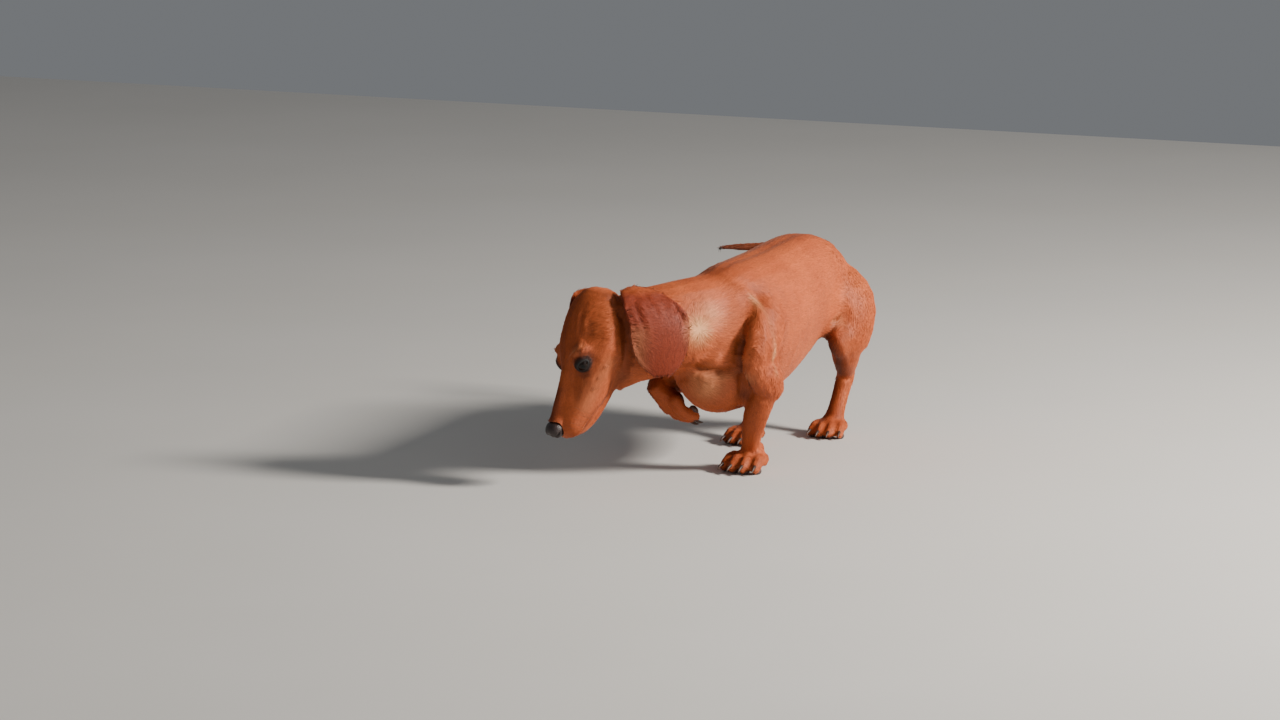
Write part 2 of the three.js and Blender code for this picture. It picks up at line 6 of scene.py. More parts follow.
import bmesh
import bpy
import numpy as np
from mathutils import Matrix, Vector


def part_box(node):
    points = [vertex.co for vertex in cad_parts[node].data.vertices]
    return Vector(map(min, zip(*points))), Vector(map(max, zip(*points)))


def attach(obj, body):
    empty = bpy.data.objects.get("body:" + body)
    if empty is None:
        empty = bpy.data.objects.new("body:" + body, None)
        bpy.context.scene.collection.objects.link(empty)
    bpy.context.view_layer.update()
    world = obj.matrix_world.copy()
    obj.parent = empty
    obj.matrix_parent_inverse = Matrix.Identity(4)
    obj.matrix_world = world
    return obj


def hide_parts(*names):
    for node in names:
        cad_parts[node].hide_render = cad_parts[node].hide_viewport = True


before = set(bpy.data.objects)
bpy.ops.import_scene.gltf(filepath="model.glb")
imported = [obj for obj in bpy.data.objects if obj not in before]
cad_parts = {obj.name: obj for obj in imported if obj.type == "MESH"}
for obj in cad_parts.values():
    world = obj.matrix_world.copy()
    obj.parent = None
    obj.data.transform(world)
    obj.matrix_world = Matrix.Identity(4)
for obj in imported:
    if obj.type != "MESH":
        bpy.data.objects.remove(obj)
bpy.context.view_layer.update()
MM = 0.001
SEED = 11


# Frames

def axes_of(yaw, pitch=0.0, roll=0.0):
    """Rows forward, left and up of a frame turned by yaw, then pitched down, then rolled left side up."""
    y, p, r = (math.radians(a) for a in (yaw, pitch, roll))
    ahead = np.array([math.cos(p) * math.cos(y), math.cos(p) * math.sin(y), -math.sin(p)])
    left = np.array([-math.sin(y), math.cos(y), 0.0])
    up = np.cross(ahead, left)
    return np.stack([ahead, left * math.cos(r) + up * math.sin(r), up * math.cos(r) - left * math.sin(r)])


def middle(node):
    """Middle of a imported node's box, in metres."""
    low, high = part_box(node)
    return (np.array(low) + np.array(high)) / 2


HEAD_AXES = axes_of(-22, 66, 17)
HEAD_AT = np.array([251.0, -114.0, 139.0])
EYE_AT = np.array([0.0, 21.5, 3.5])
EYE_RADIUS = 10.5
eyes_mid = (middle("eye_left") + middle("eye_right")) / 2
SHIFT = eyes_mid / MM - HEAD_AT - EYE_AT[2] * HEAD_AXES[2]

LIFTED_PAW = "forepaw_right"
PAW_FRAMES = {  # place on the sole, axes and size
    "forepaw_left": ((94, 24, 0), axes_of(-4), 1.0),
    LIFTED_PAW: ((123.3, -46.6, 84.3), axes_of(146, 51, 180), 1.0),
    "hindpaw_left": ((-137, 29, 0), axes_of(3), 0.9),
    "hindpaw_right": ((-56, -43, 0), axes_of(-6), 0.9),
}


def to_world(points):
    """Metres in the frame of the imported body, from millimetres in the animal's own."""
    return (np.asarray(points, float) + SHIFT) * MM


def from_head(points):
    """From the head's frame, forward along the muzzle, left and up out of the brow, to the animal's."""
    return HEAD_AT + np.asarray(points, float) @ HEAD_AXES


def to_head(points):
    """From the animal's frame to the head's."""
    return (points - HEAD_AT) @ HEAD_AXES.T


def from_paw(paw, points):
    """From a paw's frame, on its sole with the toes ahead, to the animal's."""
    at, axes, scale = PAW_FRAMES[paw]
    return np.array(at) + scale * np.asarray(points, float) @ axes


MIRROR = np.array([1, -1, 1])


def both_sides(rows):
    """Rows of a path and its numbers, then the same rows with each path mirrored."""
    return rows + [(np.array(path) * MIRROR, *numbers) for path, *numbers in rows]


def on_head(rows):
    """Rows of a path and its numbers, each path moved out of the head's frame."""
    return [(from_head(path), *numbers) for path, *numbers in rows]


# Meshes

def make_mesh(name, points, faces):
    """New smooth object from points in metres and an array of faces of one size."""
    mesh = bpy.data.meshes.new(name)
    sides = faces.shape[1]
    mesh.vertices.add(len(points))
    mesh.vertices.foreach_set("co", np.asarray(points, np.float32).ravel())
    mesh.loops.add(faces.size)
    mesh.loops.foreach_set("vertex_index", faces.astype(np.int32).ravel())
    mesh.polygons.add(len(faces))
    mesh.polygons.foreach_set("loop_start", np.arange(0, faces.size, sides, dtype=np.int32))
    mesh.update(calc_edges=True)
    mesh.validate()
    mesh.polygons.foreach_set("use_smooth", np.ones(len(mesh.polygons), bool))
    piece = bpy.data.objects.new(name, mesh)
    bpy.context.scene.collection.objects.link(piece)
    return piece


def grid_faces(rows, columns, closed=True, first=0):
    """Quads over a grid of rows by columns; closed joins the last column to the first."""
    r = np.arange(rows - 1)[:, None]
    c = np.arange(columns if closed else columns - 1)[None, :]
    after = (c + 1) % columns
    quads = np.stack([r * columns + c, r * columns + after,
                      (r + 1) * columns + after, (r + 1) * columns + c], -1)
    return first + quads.reshape(-1, 4)


def add_float(piece, name, values):
    """One number at each point, for the finishes to read."""
    layer = piece.data.attributes.new(name, "FLOAT", "POINT")
    layer.data.foreach_set("value", np.asarray(values, np.float32).ravel())


def finish(piece, material, nodes=()):
    """Gives a piece its material and slot on the body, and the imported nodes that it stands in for."""
    piece.data.materials.append(material)
    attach(piece, "root")
    if nodes:
        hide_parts(*nodes)
    return piece


def unit(vectors):
    """Vectors over their lengths."""
    return vectors / np.maximum(np.linalg.norm(vectors, axis=-1, keepdims=True), 1e-12)


def smooth_step(x):
    """x^2 (3 - 2 x), with x held between 0 and 1."""
    x = np.clip(x, 0.0, 1.0)
    return x * x * (3 - 2 * x)


def fine_path(points, count):
    """Points evenly shared along a smooth run through the given ones, by cubic blending."""
    p = np.asarray(points, float)
    p = np.vstack([2 * p[0] - p[1], p, 2 * p[-1] - p[-2]])
    t = np.linspace(0, len(p) - 3 - 1e-9, count)
    i = t.astype(int)
    f = (t - i)[:, None]
    a, b, c, d = p[i], p[i + 1], p[i + 2], p[i + 3]
    return 0.5 * (2 * b + (c - a) * f + (2 * a - 5 * b + 4 * c - d) * f ** 2
                  + (3 * b - a - 3 * c + d) * f ** 3)


def away_from(points, path):
    """Distance of each point from a line of segments, and the share of the line at its nearest place."""
    path = np.asarray(path, float)
    best = np.full(len(points), np.inf)
    share = np.zeros(len(points))
    for i in range(len(path) - 1):
        run = path[i + 1] - path[i]
        t = np.clip((points - path[i]) @ run / (run @ run), 0, 1)
        gap = np.linalg.norm(points - path[i] - t[:, None] * run, axis=1)
        near = gap < best
        best = np.where(near, gap, best)
        share = np.where(near, (i + t) / (len(path) - 1), share)
    return best, share


# Skin

APART = ("eye_left", "eye_right", "nose")
FLESH = [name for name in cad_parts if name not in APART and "claw" not in name]
OVERLAP = 0.5  # mm that each part is swollen by, so that neighbours fuse
EAR_SWELL = 1.3  # more for the thin leaves of the ears, taken off again afterwards
EAR_DEPTH = 0.3  # mm between the ears' surface and their skin
FINE_AT = np.array([240.0, -100.0, 160.0])  # the skin is finest round here
FINE_GAIN = 2.6
FINE_REACH = 110.0
FARTHEST = 900.0  # mm, more than any point's distance from FINE_AT
VOXEL = 4.55  # mm, in the stretched space
COAT_DEPTH = 0.9  # mm between the solids' surface and the skin
EVEN_OUT, EVEN_BACK = 0.5, -0.53  # shares of the way to the neighbours' mean, and back
FILL_STEP = 0.6
FILL_RENEW = 12  # rounds between fresh normals
FILL_ROUNDS = 110


def stretch(points):
    """Moves points outwards from the head so that it takes more of an even grid: a distance r
    becomes r + gain reach (1 - exp(-r / reach))."""
    away = points - FINE_AT
    far = np.linalg.norm(away, axis=1, keepdims=True)
    more = FINE_GAIN * FINE_REACH * (1 - np.exp(-far / FINE_REACH))
    return FINE_AT + away * (1 + more / np.maximum(far, 1e-6))


def unstretch(points):
    """Undoes stretch, from a table of its distances."""
    away = points - FINE_AT
    far = np.linalg.norm(away, axis=1)
    real = np.linspace(0, FARTHEST, 6000)
    table = real + FINE_GAIN * FINE_REACH * (1 - np.exp(-real / FINE_REACH))
    return FINE_AT + away * (np.interp(far, table, real) / np.maximum(far, 1e-6))[:, None]


def swollen_copy(node):
    """Points in millimetres and triangles of a node's merged copy, moved out along its normals."""
    bm = bmesh.new()
    bm.from_mesh(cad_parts[node].data)
    bmesh.ops.remove_doubles(bm, verts=bm.verts, dist=1e-6)
    bm.normal_update()
    points = np.array([v.co for v in bm.verts]) / MM - SHIFT
    normals = np.array([v.normal for v in bm.verts])
    faces = np.array([[v.index for v in f.verts] for f in bm.faces])
    bm.free()
    return points + (EAR_SWELL if "ear_" in node else OVERLAP) * normals, faces


def fuse(names):
    """One closed skin round the named nodes, as points in millimetres and quads."""
    points, faces, first = [], [], 0
    for name in names:
        p, f = swollen_copy(name)
        points.append(p)
        faces.append(f + first)
        first += len(p)
    lump = make_mesh("lump", stretch(np.vstack(points)) * MM, np.vstack(faces))
    remesh = lump.modifiers.new("skin", "REMESH")
    remesh.mode = "VOXEL"
    remesh.voxel_size = VOXEL * MM
    shape = lump.evaluated_get(bpy.context.evaluated_depsgraph_get()).to_mesh()
    co = np.zeros(len(shape.vertices) * 3)
    shape.vertices.foreach_get("co", co)
    quads = np.zeros(len(shape.loops), int)
    shape.loops.foreach_get("vertex_index", quads)
    quads = quads.reshape(-1, 4)
    bpy.data.objects.remove(lump)
    return unstretch(co.reshape(-1, 3) / MM), quads


def largest_part(points, quads):
    """Keeps the largest connected part of a surface."""
    label = np.arange(len(points))
    while True:
        low = label[quads].min(1)
        new = label.copy()
        for corner in range(4):
            np.minimum.at(new, quads[:, corner], low)
        new = new[new]
        if (new == label).all():
            break
        label = new
    ids, counts = np.unique(label, return_counts=True)
    keep = label == ids[counts.argmax()]
    index = np.cumsum(keep) - 1
    return points[keep], index[quads[keep[quads[:, 0]]]]


def edges_of(quads):
    """Every edge once, as pairs of point numbers."""
    pairs = np.vstack([quads[:, [i, (i + 1) % 4]] for i in range(4)])
    return np.unique(np.sort(pairs, 1), axis=0)


def normals_of(points, quads):
    """Normal at each point, from the faces round it weighted by their size."""
    cross = np.cross(points[quads[:, 2]] - points[quads[:, 0]], points[quads[:, 3]] - points[quads[:, 1]])
    total = np.zeros_like(points)
    for axis in range(3):
        total[:, axis] = np.bincount(quads.ravel(), np.repeat(cross[:, axis], 4), len(points))
    return unit(total)


def relax(points, edges, weight, rounds):
    """Evens a surface: each round moves points to the mean of their neighbours, then most of the
    way back, which keeps the form's size."""
    a, b = edges.T
    count = np.bincount(edges.ravel(), minlength=len(points))[:, None]
    for pull in [EVEN_OUT, EVEN_BACK] * rounds:
        total = np.zeros_like(points)
        for axis in range(3):
            total[:, axis] = (np.bincount(a, points[b, axis], len(points))
                              + np.bincount(b, points[a, axis], len(points)))
        points = points + pull * weight * (total / count - points)
    return points


def fill_hollows(points, quads, edges, weight):
    """Lifts the floor of hollows: each round moves a point out along its normal towards the mean of
    its neighbours, and never in."""
    a, b = edges.T
    count = np.bincount(edges.ravel(), minlength=len(points))
    points = points.copy()
    for turn in range(FILL_ROUNDS):
        if turn % FILL_RENEW == 0:
            normals = normals_of(points, quads)
        step = -(points * normals).sum(1)
        for axis in range(3):
            total = (np.bincount(a, points[b, axis], len(points))
                     + np.bincount(b, points[a, axis], len(points)))
            step += total / count * normals[:, axis]
        points += (FILL_STEP * weight * np.maximum(step, 0))[:, None] * normals
    return points


# Where limbs grow out of the trunk: paths along the junctions and their reach, where hollows fill up.

FILLS = [
    ([(88, 50, 214), (80, 62, 170), (82, 62, 122)], 36),
    ([(88, -56, 214), (80, -64, 170), (82, -64, 128)], 36),
    ([(112, 30, 222), (142, 44, 186), (158, 36, 158)], 26),
    ([(112, -40, 222), (142, -60, 186), (158, -54, 158)], 26),
    ([(-118, 46, 208), (-110, 54, 165), (-106, 50, 140)], 30),
    ([(-100, -50, 208), (-82, -56, 165), (-66, -52, 146)], 30),
    ([(-188, 26, 190), (-184, 34, 150), (-168, 40, 112)], 24),
    ([(-176, -28, 190), (-150, -46, 150), (-128, -46, 116)], 24),
    ([(-134, 56, 124), (-142, 50, 100)], 22),
    ([(-96, -58, 126), (-104, -52, 96)], 22),
    ([(84, 0, 230), (120, -8, 224)], 44),
    ([(102, 62, 98), (110, 56, 92)], 18),
]

HEAD_FILLS = [
    ([(-60, 22, -46), (-24, 18, -51), (4, 10, -51), (24, 6, -49)], 24),
    ([(-36, 20, 22), (-20, 15, 22)], 9),
    ([(68, 12, 8), (74, 14, -4), (70, 0, 13)], 9),
]


def fill_share(points):
    """1 along the paths where hollows fill up, fading to 0 at each one's reach."""
    total = np.zeros(len(points))
    for path, reach in FILLS + on_head(both_sides(HEAD_FILLS)):
        gap, _ = away_from(points, path)
        total = np.maximum(total, smooth_step((reach - gap) / (0.5 * reach)))
    return total


# Forms raised and sunk in the skin. Each has a path, the reach of its slope to each side and its height.

ARMPIT = [(143, 42, 160), (147, 38, 150), (152, 38, 138), (142, 37, 115), (124, 32, 93)]
BREAST_FOLD = [(178, -5, 130), (175, 0, 129), (169, 12, 126), (159, 23, 125), (150, 32, 128)]
BODY_FORMS = [
    # ridge over the shoulder's point, and the shallow hollow behind it
    ([(127, 10, 223), (126, 27, 214), (120, 39, 203), (130, 53, 190), (138, 62, 175), (146, 65, 156),
      (148, 64, 137), (148, 58, 115)], 4.0, 1.5),
    ([(118, 24, 218), (112, 38, 208), (118, 54, 190), (127, 64, 170), (134, 68, 148), (134, 68, 128)],
     6, -1.3),
    # hollow between the breast and the upper arm, and the fold across the front of the breast
    (ARMPIT, 6, -7.0),
    (BREAST_FOLD, 4.5, -5.5),
    ([(182, -8, 141), (176, 4, 140), (166, 20, 139)], 7, 2.8),
    ([(172, -4, 112), (164, 12, 108)], 13, 2.5),
    # front edge of the left gaskin, and its flat inner face
    ([(-98, 50, 130), (-97, 56, 121), (-106, 57, 110), (-117, 56, 100), (-139, 49, 80)], 3.5, 1.6),
    ([(-106, 38, 126), (-112, 42, 108), (-130, 40, 90)], 8, -2.2),
    # loins on both sides of the furrow of the back
    ([(110, -3, 236), (40, 0, 240), (-40, 2, 246), (-130, 0, 240)], 6, -1.1),
    ([(60, 18, 236), (-30, 20, 242), (-120, 18, 238)], 11, 0.9),
    ([(60, -16, 236), (-30, -16, 242), (-120, -18, 238)], 11, 0.9),
    # hip bones, flank folds and the long muscle of the thigh
    ([(-128, 30, 228), (-132, 34, 222)], 9, 1.3),
    ([(-128, -28, 228), (-132, -32, 222)], 9, 1.3),
    ([(-116, 44, 140), (-96, 50, 146), (-70, 52, 152)], 7, 1.8),
    ([(-100, -50, 144), (-78, -52, 150), (-50, -54, 156)], 7, 1.8),
    ([(-104, 46, 196), (-108, 56, 170), (-112, 60, 146)], 8, -1.4),
    ([(-160, 50, 190), (-166, 56, 160), (-158, 54, 124), (-156, 50, 100)], 7, 1.0),
    ([(-146, 62, 176), (-140, 68, 148), (-134, 62, 120)], 9, 1.0),
    # tendons above the hocks
    ([(-160, 42, 96), (-172, 38, 84)], 4, 0.8),
    ([(-106, -48, 96), (-118, -46, 80)], 4, 0.8),
    # edge of the forearm's muscle and the wrinkles over the wrist
    ([(112, 56, 96), (108, 50, 70), (98, 36, 46)], 5, 0.8),
    ([(100, 22, 34), (104, 32, 33)], 1.6, -0.6),
    ([(98, 20, 27), (103, 32, 26)], 1.6, -0.5),
]
RIBS = [([(x, 20 + 8 * k, 226 - 3 * k), (x - 4, 60, 190), (x - 10, 62, 150), (x - 2, 50, 105)], 5, 0.45)
        for k, x in enumerate((70, 48, 26, 4, -18, -40))]
HEAD_FORMS = [
    # both sides: paths in the head's frame, mirrored
    ([(-4, 31, -7), (-20, 38.5, -8), (-42, 41, -5)], 6, 0.9),
    ([(-16, 37, -24), (-36, 37, -26)], 13, 1.2),
    ([(-20, 28, 15), (-34, 33, 10)], 9, -1.3),
    ([(8, 13, 15), (-6, 20, 19), (-17, 29, 17)], 4, 0.5),
    ([(14, 14, 3), (28, 15.5, 0), (46, 16, -3)], 5, -0.8),
    ([(10, 22, -8), (20, 22, -12)], 6, 0.7),
    ([(66, 17, -12), (74, 14, -11)], 7, 0.9),
    ([(60, 8, 12), (20, 9, 14)], 4, 0.4),
    # hollow at the ear's root, shaded fold behind the cheek, and the cheek's own edge
    ([(-76, 29, 0), (-73, 31, -5), (-66, 33, -13)], 4.5, -4.0),
    ([(-70, 32, -9), (-61, 34, -17.5), (-52.7, 37, -23), (-37.5, 37, -30), (-24, 34, -36.5), (-12, 29, -41.5),
      (2, 21, -46)], 4.5, -3.5),
    ([(-60, 35, -9), (-46, 39, -15), (-32, 39, -21), (-18, 36, -28), (-4, 31, -33)], 5, 1.0),
    # groove from the inner corner of the eye, the temple's dimple and the fold of the upper lid
    ([(8, 14, 8), (13.8, 12.5, 7.5), (19.5, 12.8, 5.5), (27.6, 13.8, 2.8)], 2.6, -1.1),
    ([(-26, 37.4, -0.5), (-25, 37.4, -1)], 3.5, -1.1),
    # wrinkles of the forehead
    ([(-52, 17, 22), (-38, 20, 21), (-27, 22, 19)], 2.2, -1.2),
    ([(-50, 11, 26), (-38, 13, 25), (-28, 13.5, 23)], 1.9, -0.7),
    ([(-46, 27, 16), (-34, 28.5, 14), (-26, 30, 13)], 2.0, -0.7),
    ([(-50, 14, 25), (-36, 16.5, 24)], 2.6, 0.6),
    ([(-48, 22, 20), (-34, 25, 18)], 2.8, 0.6),
    # warts of the cheek
    ([(0, 34.6, -16.9), (1, 34.6, -17.2)], 2.0, 1.0),
    ([(13.4, 30.3, -15.9), (14.2, 30.3, -16)], 2.0, 0.9),
    ([(26.2, 26.8, -14.9), (27.2, 26.8, -15)], 1.7, 0.8),
]
HEAD_MIDDLE = [
    ([(14, 0, 18), (-20, 0, 27), (-66, 0, 28)], 4, -1.0),
    ([(16, 0, 17), (8, 0, 18)], 9, -0.9),
]
MOUTH = [(81.5, 1.5, -16), (79, 7, -18.5), (72, 13.5, -21.5), (61.2, 18.8, -25), (51.6, 20.8, -28),
         (43.3, 20, -31.8), (36, 18.5, -35.5), (28, 18.5, -38.5), (18, 20, -40), (10, 21.5, -39.5)]
LIP_GROOVE, LIP_UPPER, LIP_LOWER = -2.1, 0.9, -0.8  # mm of height in the groove, above it and beneath it


def mouth_line(side):
    """Run of the mouth on one side, 1 for the left and -1 for the right."""
    return from_head(np.array(MOUTH) * [1, side, 1])


def lips(points):
    """Groove of the mouth: the upper lip is full above it and the lower one falls back beneath it.
    Both are height times exp(-(distance / reach)^2), round the groove and beside it."""
    total = np.zeros(len(points))
    for side in (1, -1):
        line = fine_path(mouth_line(side), 40)
        gap, share = away_from(points, line)
        over = to_head(points)[:, 2] - np.interp(share, np.linspace(0, 1, len(line)), to_head(line)[:, 2])
        fade = smooth_step((1 - share) * 5 + 0.2)
        total += LIP_GROOVE * fade * np.exp(-(gap / 1.2) ** 2)
        total += np.where(over > 0, LIP_UPPER, LIP_LOWER) * fade * np.exp(-((gap - 2.7) / 1.8) ** 2)
    return total


def settled(path, points, normals):
    """The path's places moved straight onto the skin, so that a form lies on it."""
    path = np.asarray(path, float)
    near = np.array([np.linalg.norm(points - place, axis=1).argmin() for place in path])
    off = ((points[near] - path) * normals[near]).sum(1, keepdims=True)
    return path + off * normals[near]


OFF_SKIN = 12.0  # mm that a form's path may lie off the skin before it is settled on it


def raised(points, normals, forms):
    """Height over each point: the sum over the forms of height times exp(-(distance / reach)^2),
    which fades out to nothing at both ends of each path."""
    total = np.zeros(len(points))
    for path, reach, height in forms:
        path = np.asarray(path, float)
        margin = 4 * reach + OFF_SKIN
        low, high = path.min(0) - margin, path.max(0) + margin
        near = np.flatnonzero(((points > low) & (points < high)).all(1))
        if not len(near):
            continue
        line = fine_path(settled(path, points[near], normals[near]), 4 * len(path))
        gap, share = away_from(points[near], line)
        ends = smooth_step(share * 6 + 0.35) * smooth_step((1 - share) * 6 + 0.35)
        total[near] += height * ends * np.exp(-(gap / reach) ** 2)
    return total


# Ears

EAR_HEADING = -40.0
EARS = {  # side, root and how far the leaf drapes outwards
    "left": (1, np.array([228.3, -81.9, 214.3]), 41.0),
    "right": (-1, np.array([224.0, -135.0, 206.0]), 12.0)}
EAR_OUTLINE = np.array([
    (3, -3), (1, 12), (4, 27), (4.5, 42), (6, 55), (12, 69), (22, 81), (33, 88), (51, 87), (64, 75),
    (71.5, 60), (75.5, 42), (74, 23), (64, 8), (45, -3), (22, -7.5)], float)
EAR_WIDTH, EAR_LENGTH = 74.0, 88.0
EAR_BEND = 18.0  # mm down the leaf in which it turns from the root to its fall
EAR_CUP = 5.0  # mm that its middle stands out from its edges


def ear_frame(side):
    """Rows rearwards, down and outwards of an ear's own plane."""
    a = math.radians(EAR_HEADING)
    rear = [-math.cos(a), -math.sin(a), 0]
    outward = [-side * math.sin(a), side * math.cos(a), 0]
    return np.array([rear, [0, 0, -1], outward])


def ear_fall(down, drape):
    """How far the leaf's outer face stands out from its plane: drape times 1 - exp(-(down + 11) / bend)."""
    return drape * (1 - np.exp(-(down + 11) / EAR_BEND))


def ear_places(points, which):
    """Rearwards r, down s, and how far each point stands off the leaf's outer face."""
    side, root, drape = EARS[which]
    r, s, out = ((points - root) @ ear_frame(side).T).T
    across = np.clip(r / EAR_WIDTH, 0, 1)
    fall = ear_fall(s, drape) + 4 * across
    down = 0.2 + 0.8 * np.clip(s / EAR_LENGTH, 0, 1)
    cup = EAR_CUP * np.sin(math.pi * across) * np.sin(math.pi * down)
    return r, s, out - fall - cup


def inside_outline(r, s, outline):
    """Signed distance to a closed outline: positive inside it."""
    p = np.stack([r, s], 1)
    best = np.full(len(p), np.inf)
    inside = np.zeros(len(p), bool)
    for a, b in zip(outline, np.roll(outline, -1, 0)):
        run = b - a
        t = np.clip((p - a) @ run / (run @ run), 0, 1)
        best = np.minimum(best, np.linalg.norm(p - a - t[:, None] * run, axis=1))
        crosses = ((a[1] > p[:, 1]) != (b[1] > p[:, 1])) & (
            p[:, 0] < (b[0] - a[0]) * (p[:, 1] - a[1]) / (b[1] - a[1] + 1e-12) + a[0])
        inside ^= crosses
    return np.where(inside, best, -best)


def ear_share(points):
    """1 on the ears and 0 off them, with a soft edge at their roots."""
    total = np.zeros(len(points))
    for which in EARS:
        r, s, off = ear_places(points, which)
        inner = smooth_step((inside_outline(r, s, EAR_OUTLINE) + 5) / 6)
        leaf = smooth_step((7.5 - np.abs(off + 1.5)) / 3)
        total = np.maximum(total, inner * leaf * smooth_step((s + 10) / 12))
    return total


EAR_CREASES = [  # runs over the leaf as rearwards and down, reach and height
    ([(12, 2), (15, 18), (20, 40)], 2.8, -0.7), ([(18, 4), (21, 22), (25, 44)], 3.4, 0.5),
    ([(26, -5), (32, 8), (38, 24)], 3.0, -0.6), ([(40, 0), (46, 14), (50, 30)], 4.0, -0.35),
    ([(59, 8), (64, 17), (69, 29), (70.5, 38)], 2.6, -1.7), ([(65, 8), (69.5, 18), (73, 30)], 2.6, 1.3),
    ([(6, 44), (12, 58), (21, 72)], 4.5, -0.5)]
EAR_RIM = 0.4  # mm that the rim is thicker


def root_share(points):
    """1 round the roots of the ears, where the leaf grows out of the head."""
    total = np.zeros(len(points))
    for which in EARS:
        r, s, off = ear_places(points, which)
        strip = smooth_step((16 - np.abs(s + 6)) / 8) * smooth_step((16 - np.abs(off)) / 8)
        strip = strip * smooth_step((r + 12) / 8) * smooth_step((80 - r) / 8)
        total = np.maximum(total, strip)
    return total


def ear_folds(points):
    """Creases that run down each leaf from its root, the pocket at its rear edge and a turned rim."""
    total = np.zeros(len(points))
    for which in EARS:
        r, s, off = ear_places(points, which)
        depth = inside_outline(r, s, EAR_OUTLINE)
        face = smooth_step((4.5 - np.abs(off)) / 2.5) * smooth_step((depth + 1) / 4)
        place = np.stack([r, s], 1)
        for run, reach, height in EAR_CREASES:
            line = fine_path([(a, b, 0) for a, b in run], 24)[:, :2]
            gap, share = away_from(place, line)
            ends = smooth_step(share * 4 + 0.3) * smooth_step((1 - share) * 3 + 0.1)
            total += face * height * ends * np.exp(-(gap / reach) ** 2)
        total += face * EAR_RIM * np.exp(-((depth - 1.5) / 1.6) ** 2)
    return total


# Eyes

GAZE = unit(np.array([0.55, 0.8, 0.26]))
OPENING = (7.6, 4.9)  # mm along the eyeball, half length and half height between the lids
LID_STANDS = 0.9  # mm between the eyeball and the skin of the lids
SOCKET_DEPTH = 3.0  # mm that the skin sinks beneath the eyeball's surface


def eye_at(side):
    """Middle of an eyeball in the head's frame."""
    return EYE_AT * [1, side, 1]


def eye_frame(side):
    """Rows along the lids towards the nose, up over the eye and out along the gaze, in the head's frame."""
    gaze = GAZE * [1, side, 1]
    along = unit(np.cross(gaze, [0, 0, 1]) * side)
    up = np.cross(gaze, along) * -side
    up = up * np.sign(up[2])
    return np.stack([along, up, gaze])


def lid_edge(turn):
    """Edge of the opening at each angle from its inner corner: an almond, fuller above than below,
    drawn out at the inner corner."""
    along = OPENING[0] * np.cos(turn)
    lift = np.sin(turn)
    high = np.where(lift > 0, 1.05, 0.86) * OPENING[1] * np.sign(lift) * np.abs(lift) ** 1.15
    return along, high + 0.10 * along


def eye_places(points, side):
    """Where each point lies round the gaze: mm along and over the eyeball's surface, its angle from
    the gaze, and its offset from the eyeball's middle."""
    away = to_head(points) - eye_at(side)
    lean = unit(away) @ eye_frame(side).T
    bend = np.arccos(np.clip(lean[:, 2], -1, 1))
    arc = EYE_RADIUS * bend / np.maximum(np.sin(bend), 1e-6)
    return arc * lean[:, 0], arc * lean[:, 1], bend, away


def on_eye(along, high, radius, side):
    """Points at a radius from the eyeball's middle, told by their mm along and over its surface."""
    arc = np.hypot(along, high)
    bend = arc / EYE_RADIUS
    scale = np.sin(bend) / np.maximum(arc, 1e-9)
    lean = np.stack([along * scale, high * scale, np.cos(bend)], -1)
    return from_head(eye_at(side) + radius[..., None] * (lean @ eye_frame(side)))


def eye_depth(points, side):
    """How far inside the lids' edge each point lies, in mm along the eyeball, far from it -99."""
    along, high, bend, away = eye_places(points, side)
    turn = np.linspace(0, 2 * math.pi, 60, endpoint=False)
    depth = inside_outline(along, high, np.stack(lid_edge(turn), 1))
    near = (np.linalg.norm(away, axis=1) < EYE_RADIUS + 9) & (bend < 1.9)
    return np.where(near, depth, -99.0)


def set_eyes(points):
    """Clears each eyeball: the skin sinks behind it between the lids, and stands a lid's thickness
    off it round them."""
    points = points.copy()
    for side in (1, -1):
        depth = eye_depth(points, side)
        away = to_head(points) - eye_at(side)
        far = np.linalg.norm(away, axis=1)
        lid = smooth_step((depth + 6.5) / 4)
        hole = smooth_step((depth + 1.7) / 1.2)
        reach = far + lid * (EYE_RADIUS + LID_STANDS - far)
        reach = reach + hole * (EYE_RADIUS - SOCKET_DEPTH - reach)
        moved = from_head(eye_at(side) + away * (reach / far)[:, None])
        near = (depth > -6.5) & (far < EYE_RADIUS + 7)
        points = np.where(near[:, None], moved, points)
    return points


# Nose

NOSE_AT = np.array([78.8, 0, 1.4])
NOSE_HALF = np.array([8.6, 11.6, 10.2])
NOSE_COLLAR = 1.07  # size of the skin round it, over the nose's own


def seat_nose(points):
    """Draws the skin out round the rear half of the nose, so that only its front stands clear."""
    p = to_head(points)
    away = (p - NOSE_AT) / NOSE_HALF
    far = np.linalg.norm(away[:, 1:], axis=1)
    slice_size = np.sqrt(np.clip(1 - np.clip(away[:, 0], -0.4, 1) ** 2, 0, 1))
    reach = NOSE_COLLAR * slice_size
    share = smooth_step((p[:, 0] - 62) / 12) * smooth_step((81.5 - p[:, 0]) / 3)
    share = share * smooth_step((away[:, 2] + 1.2) / 0.5)
    grow = np.where(far < reach, reach / np.maximum(far, 0.05), 1.0)
    grow = 1 + share * (np.minimum(grow, 3.0) - 1)
    away[:, 1:] *= grow[:, None]
    return from_head(NOSE_AT + away * NOSE_HALF)


# Lie of the coat: bones from end to end with their half thickness and the hair's length, in mm.

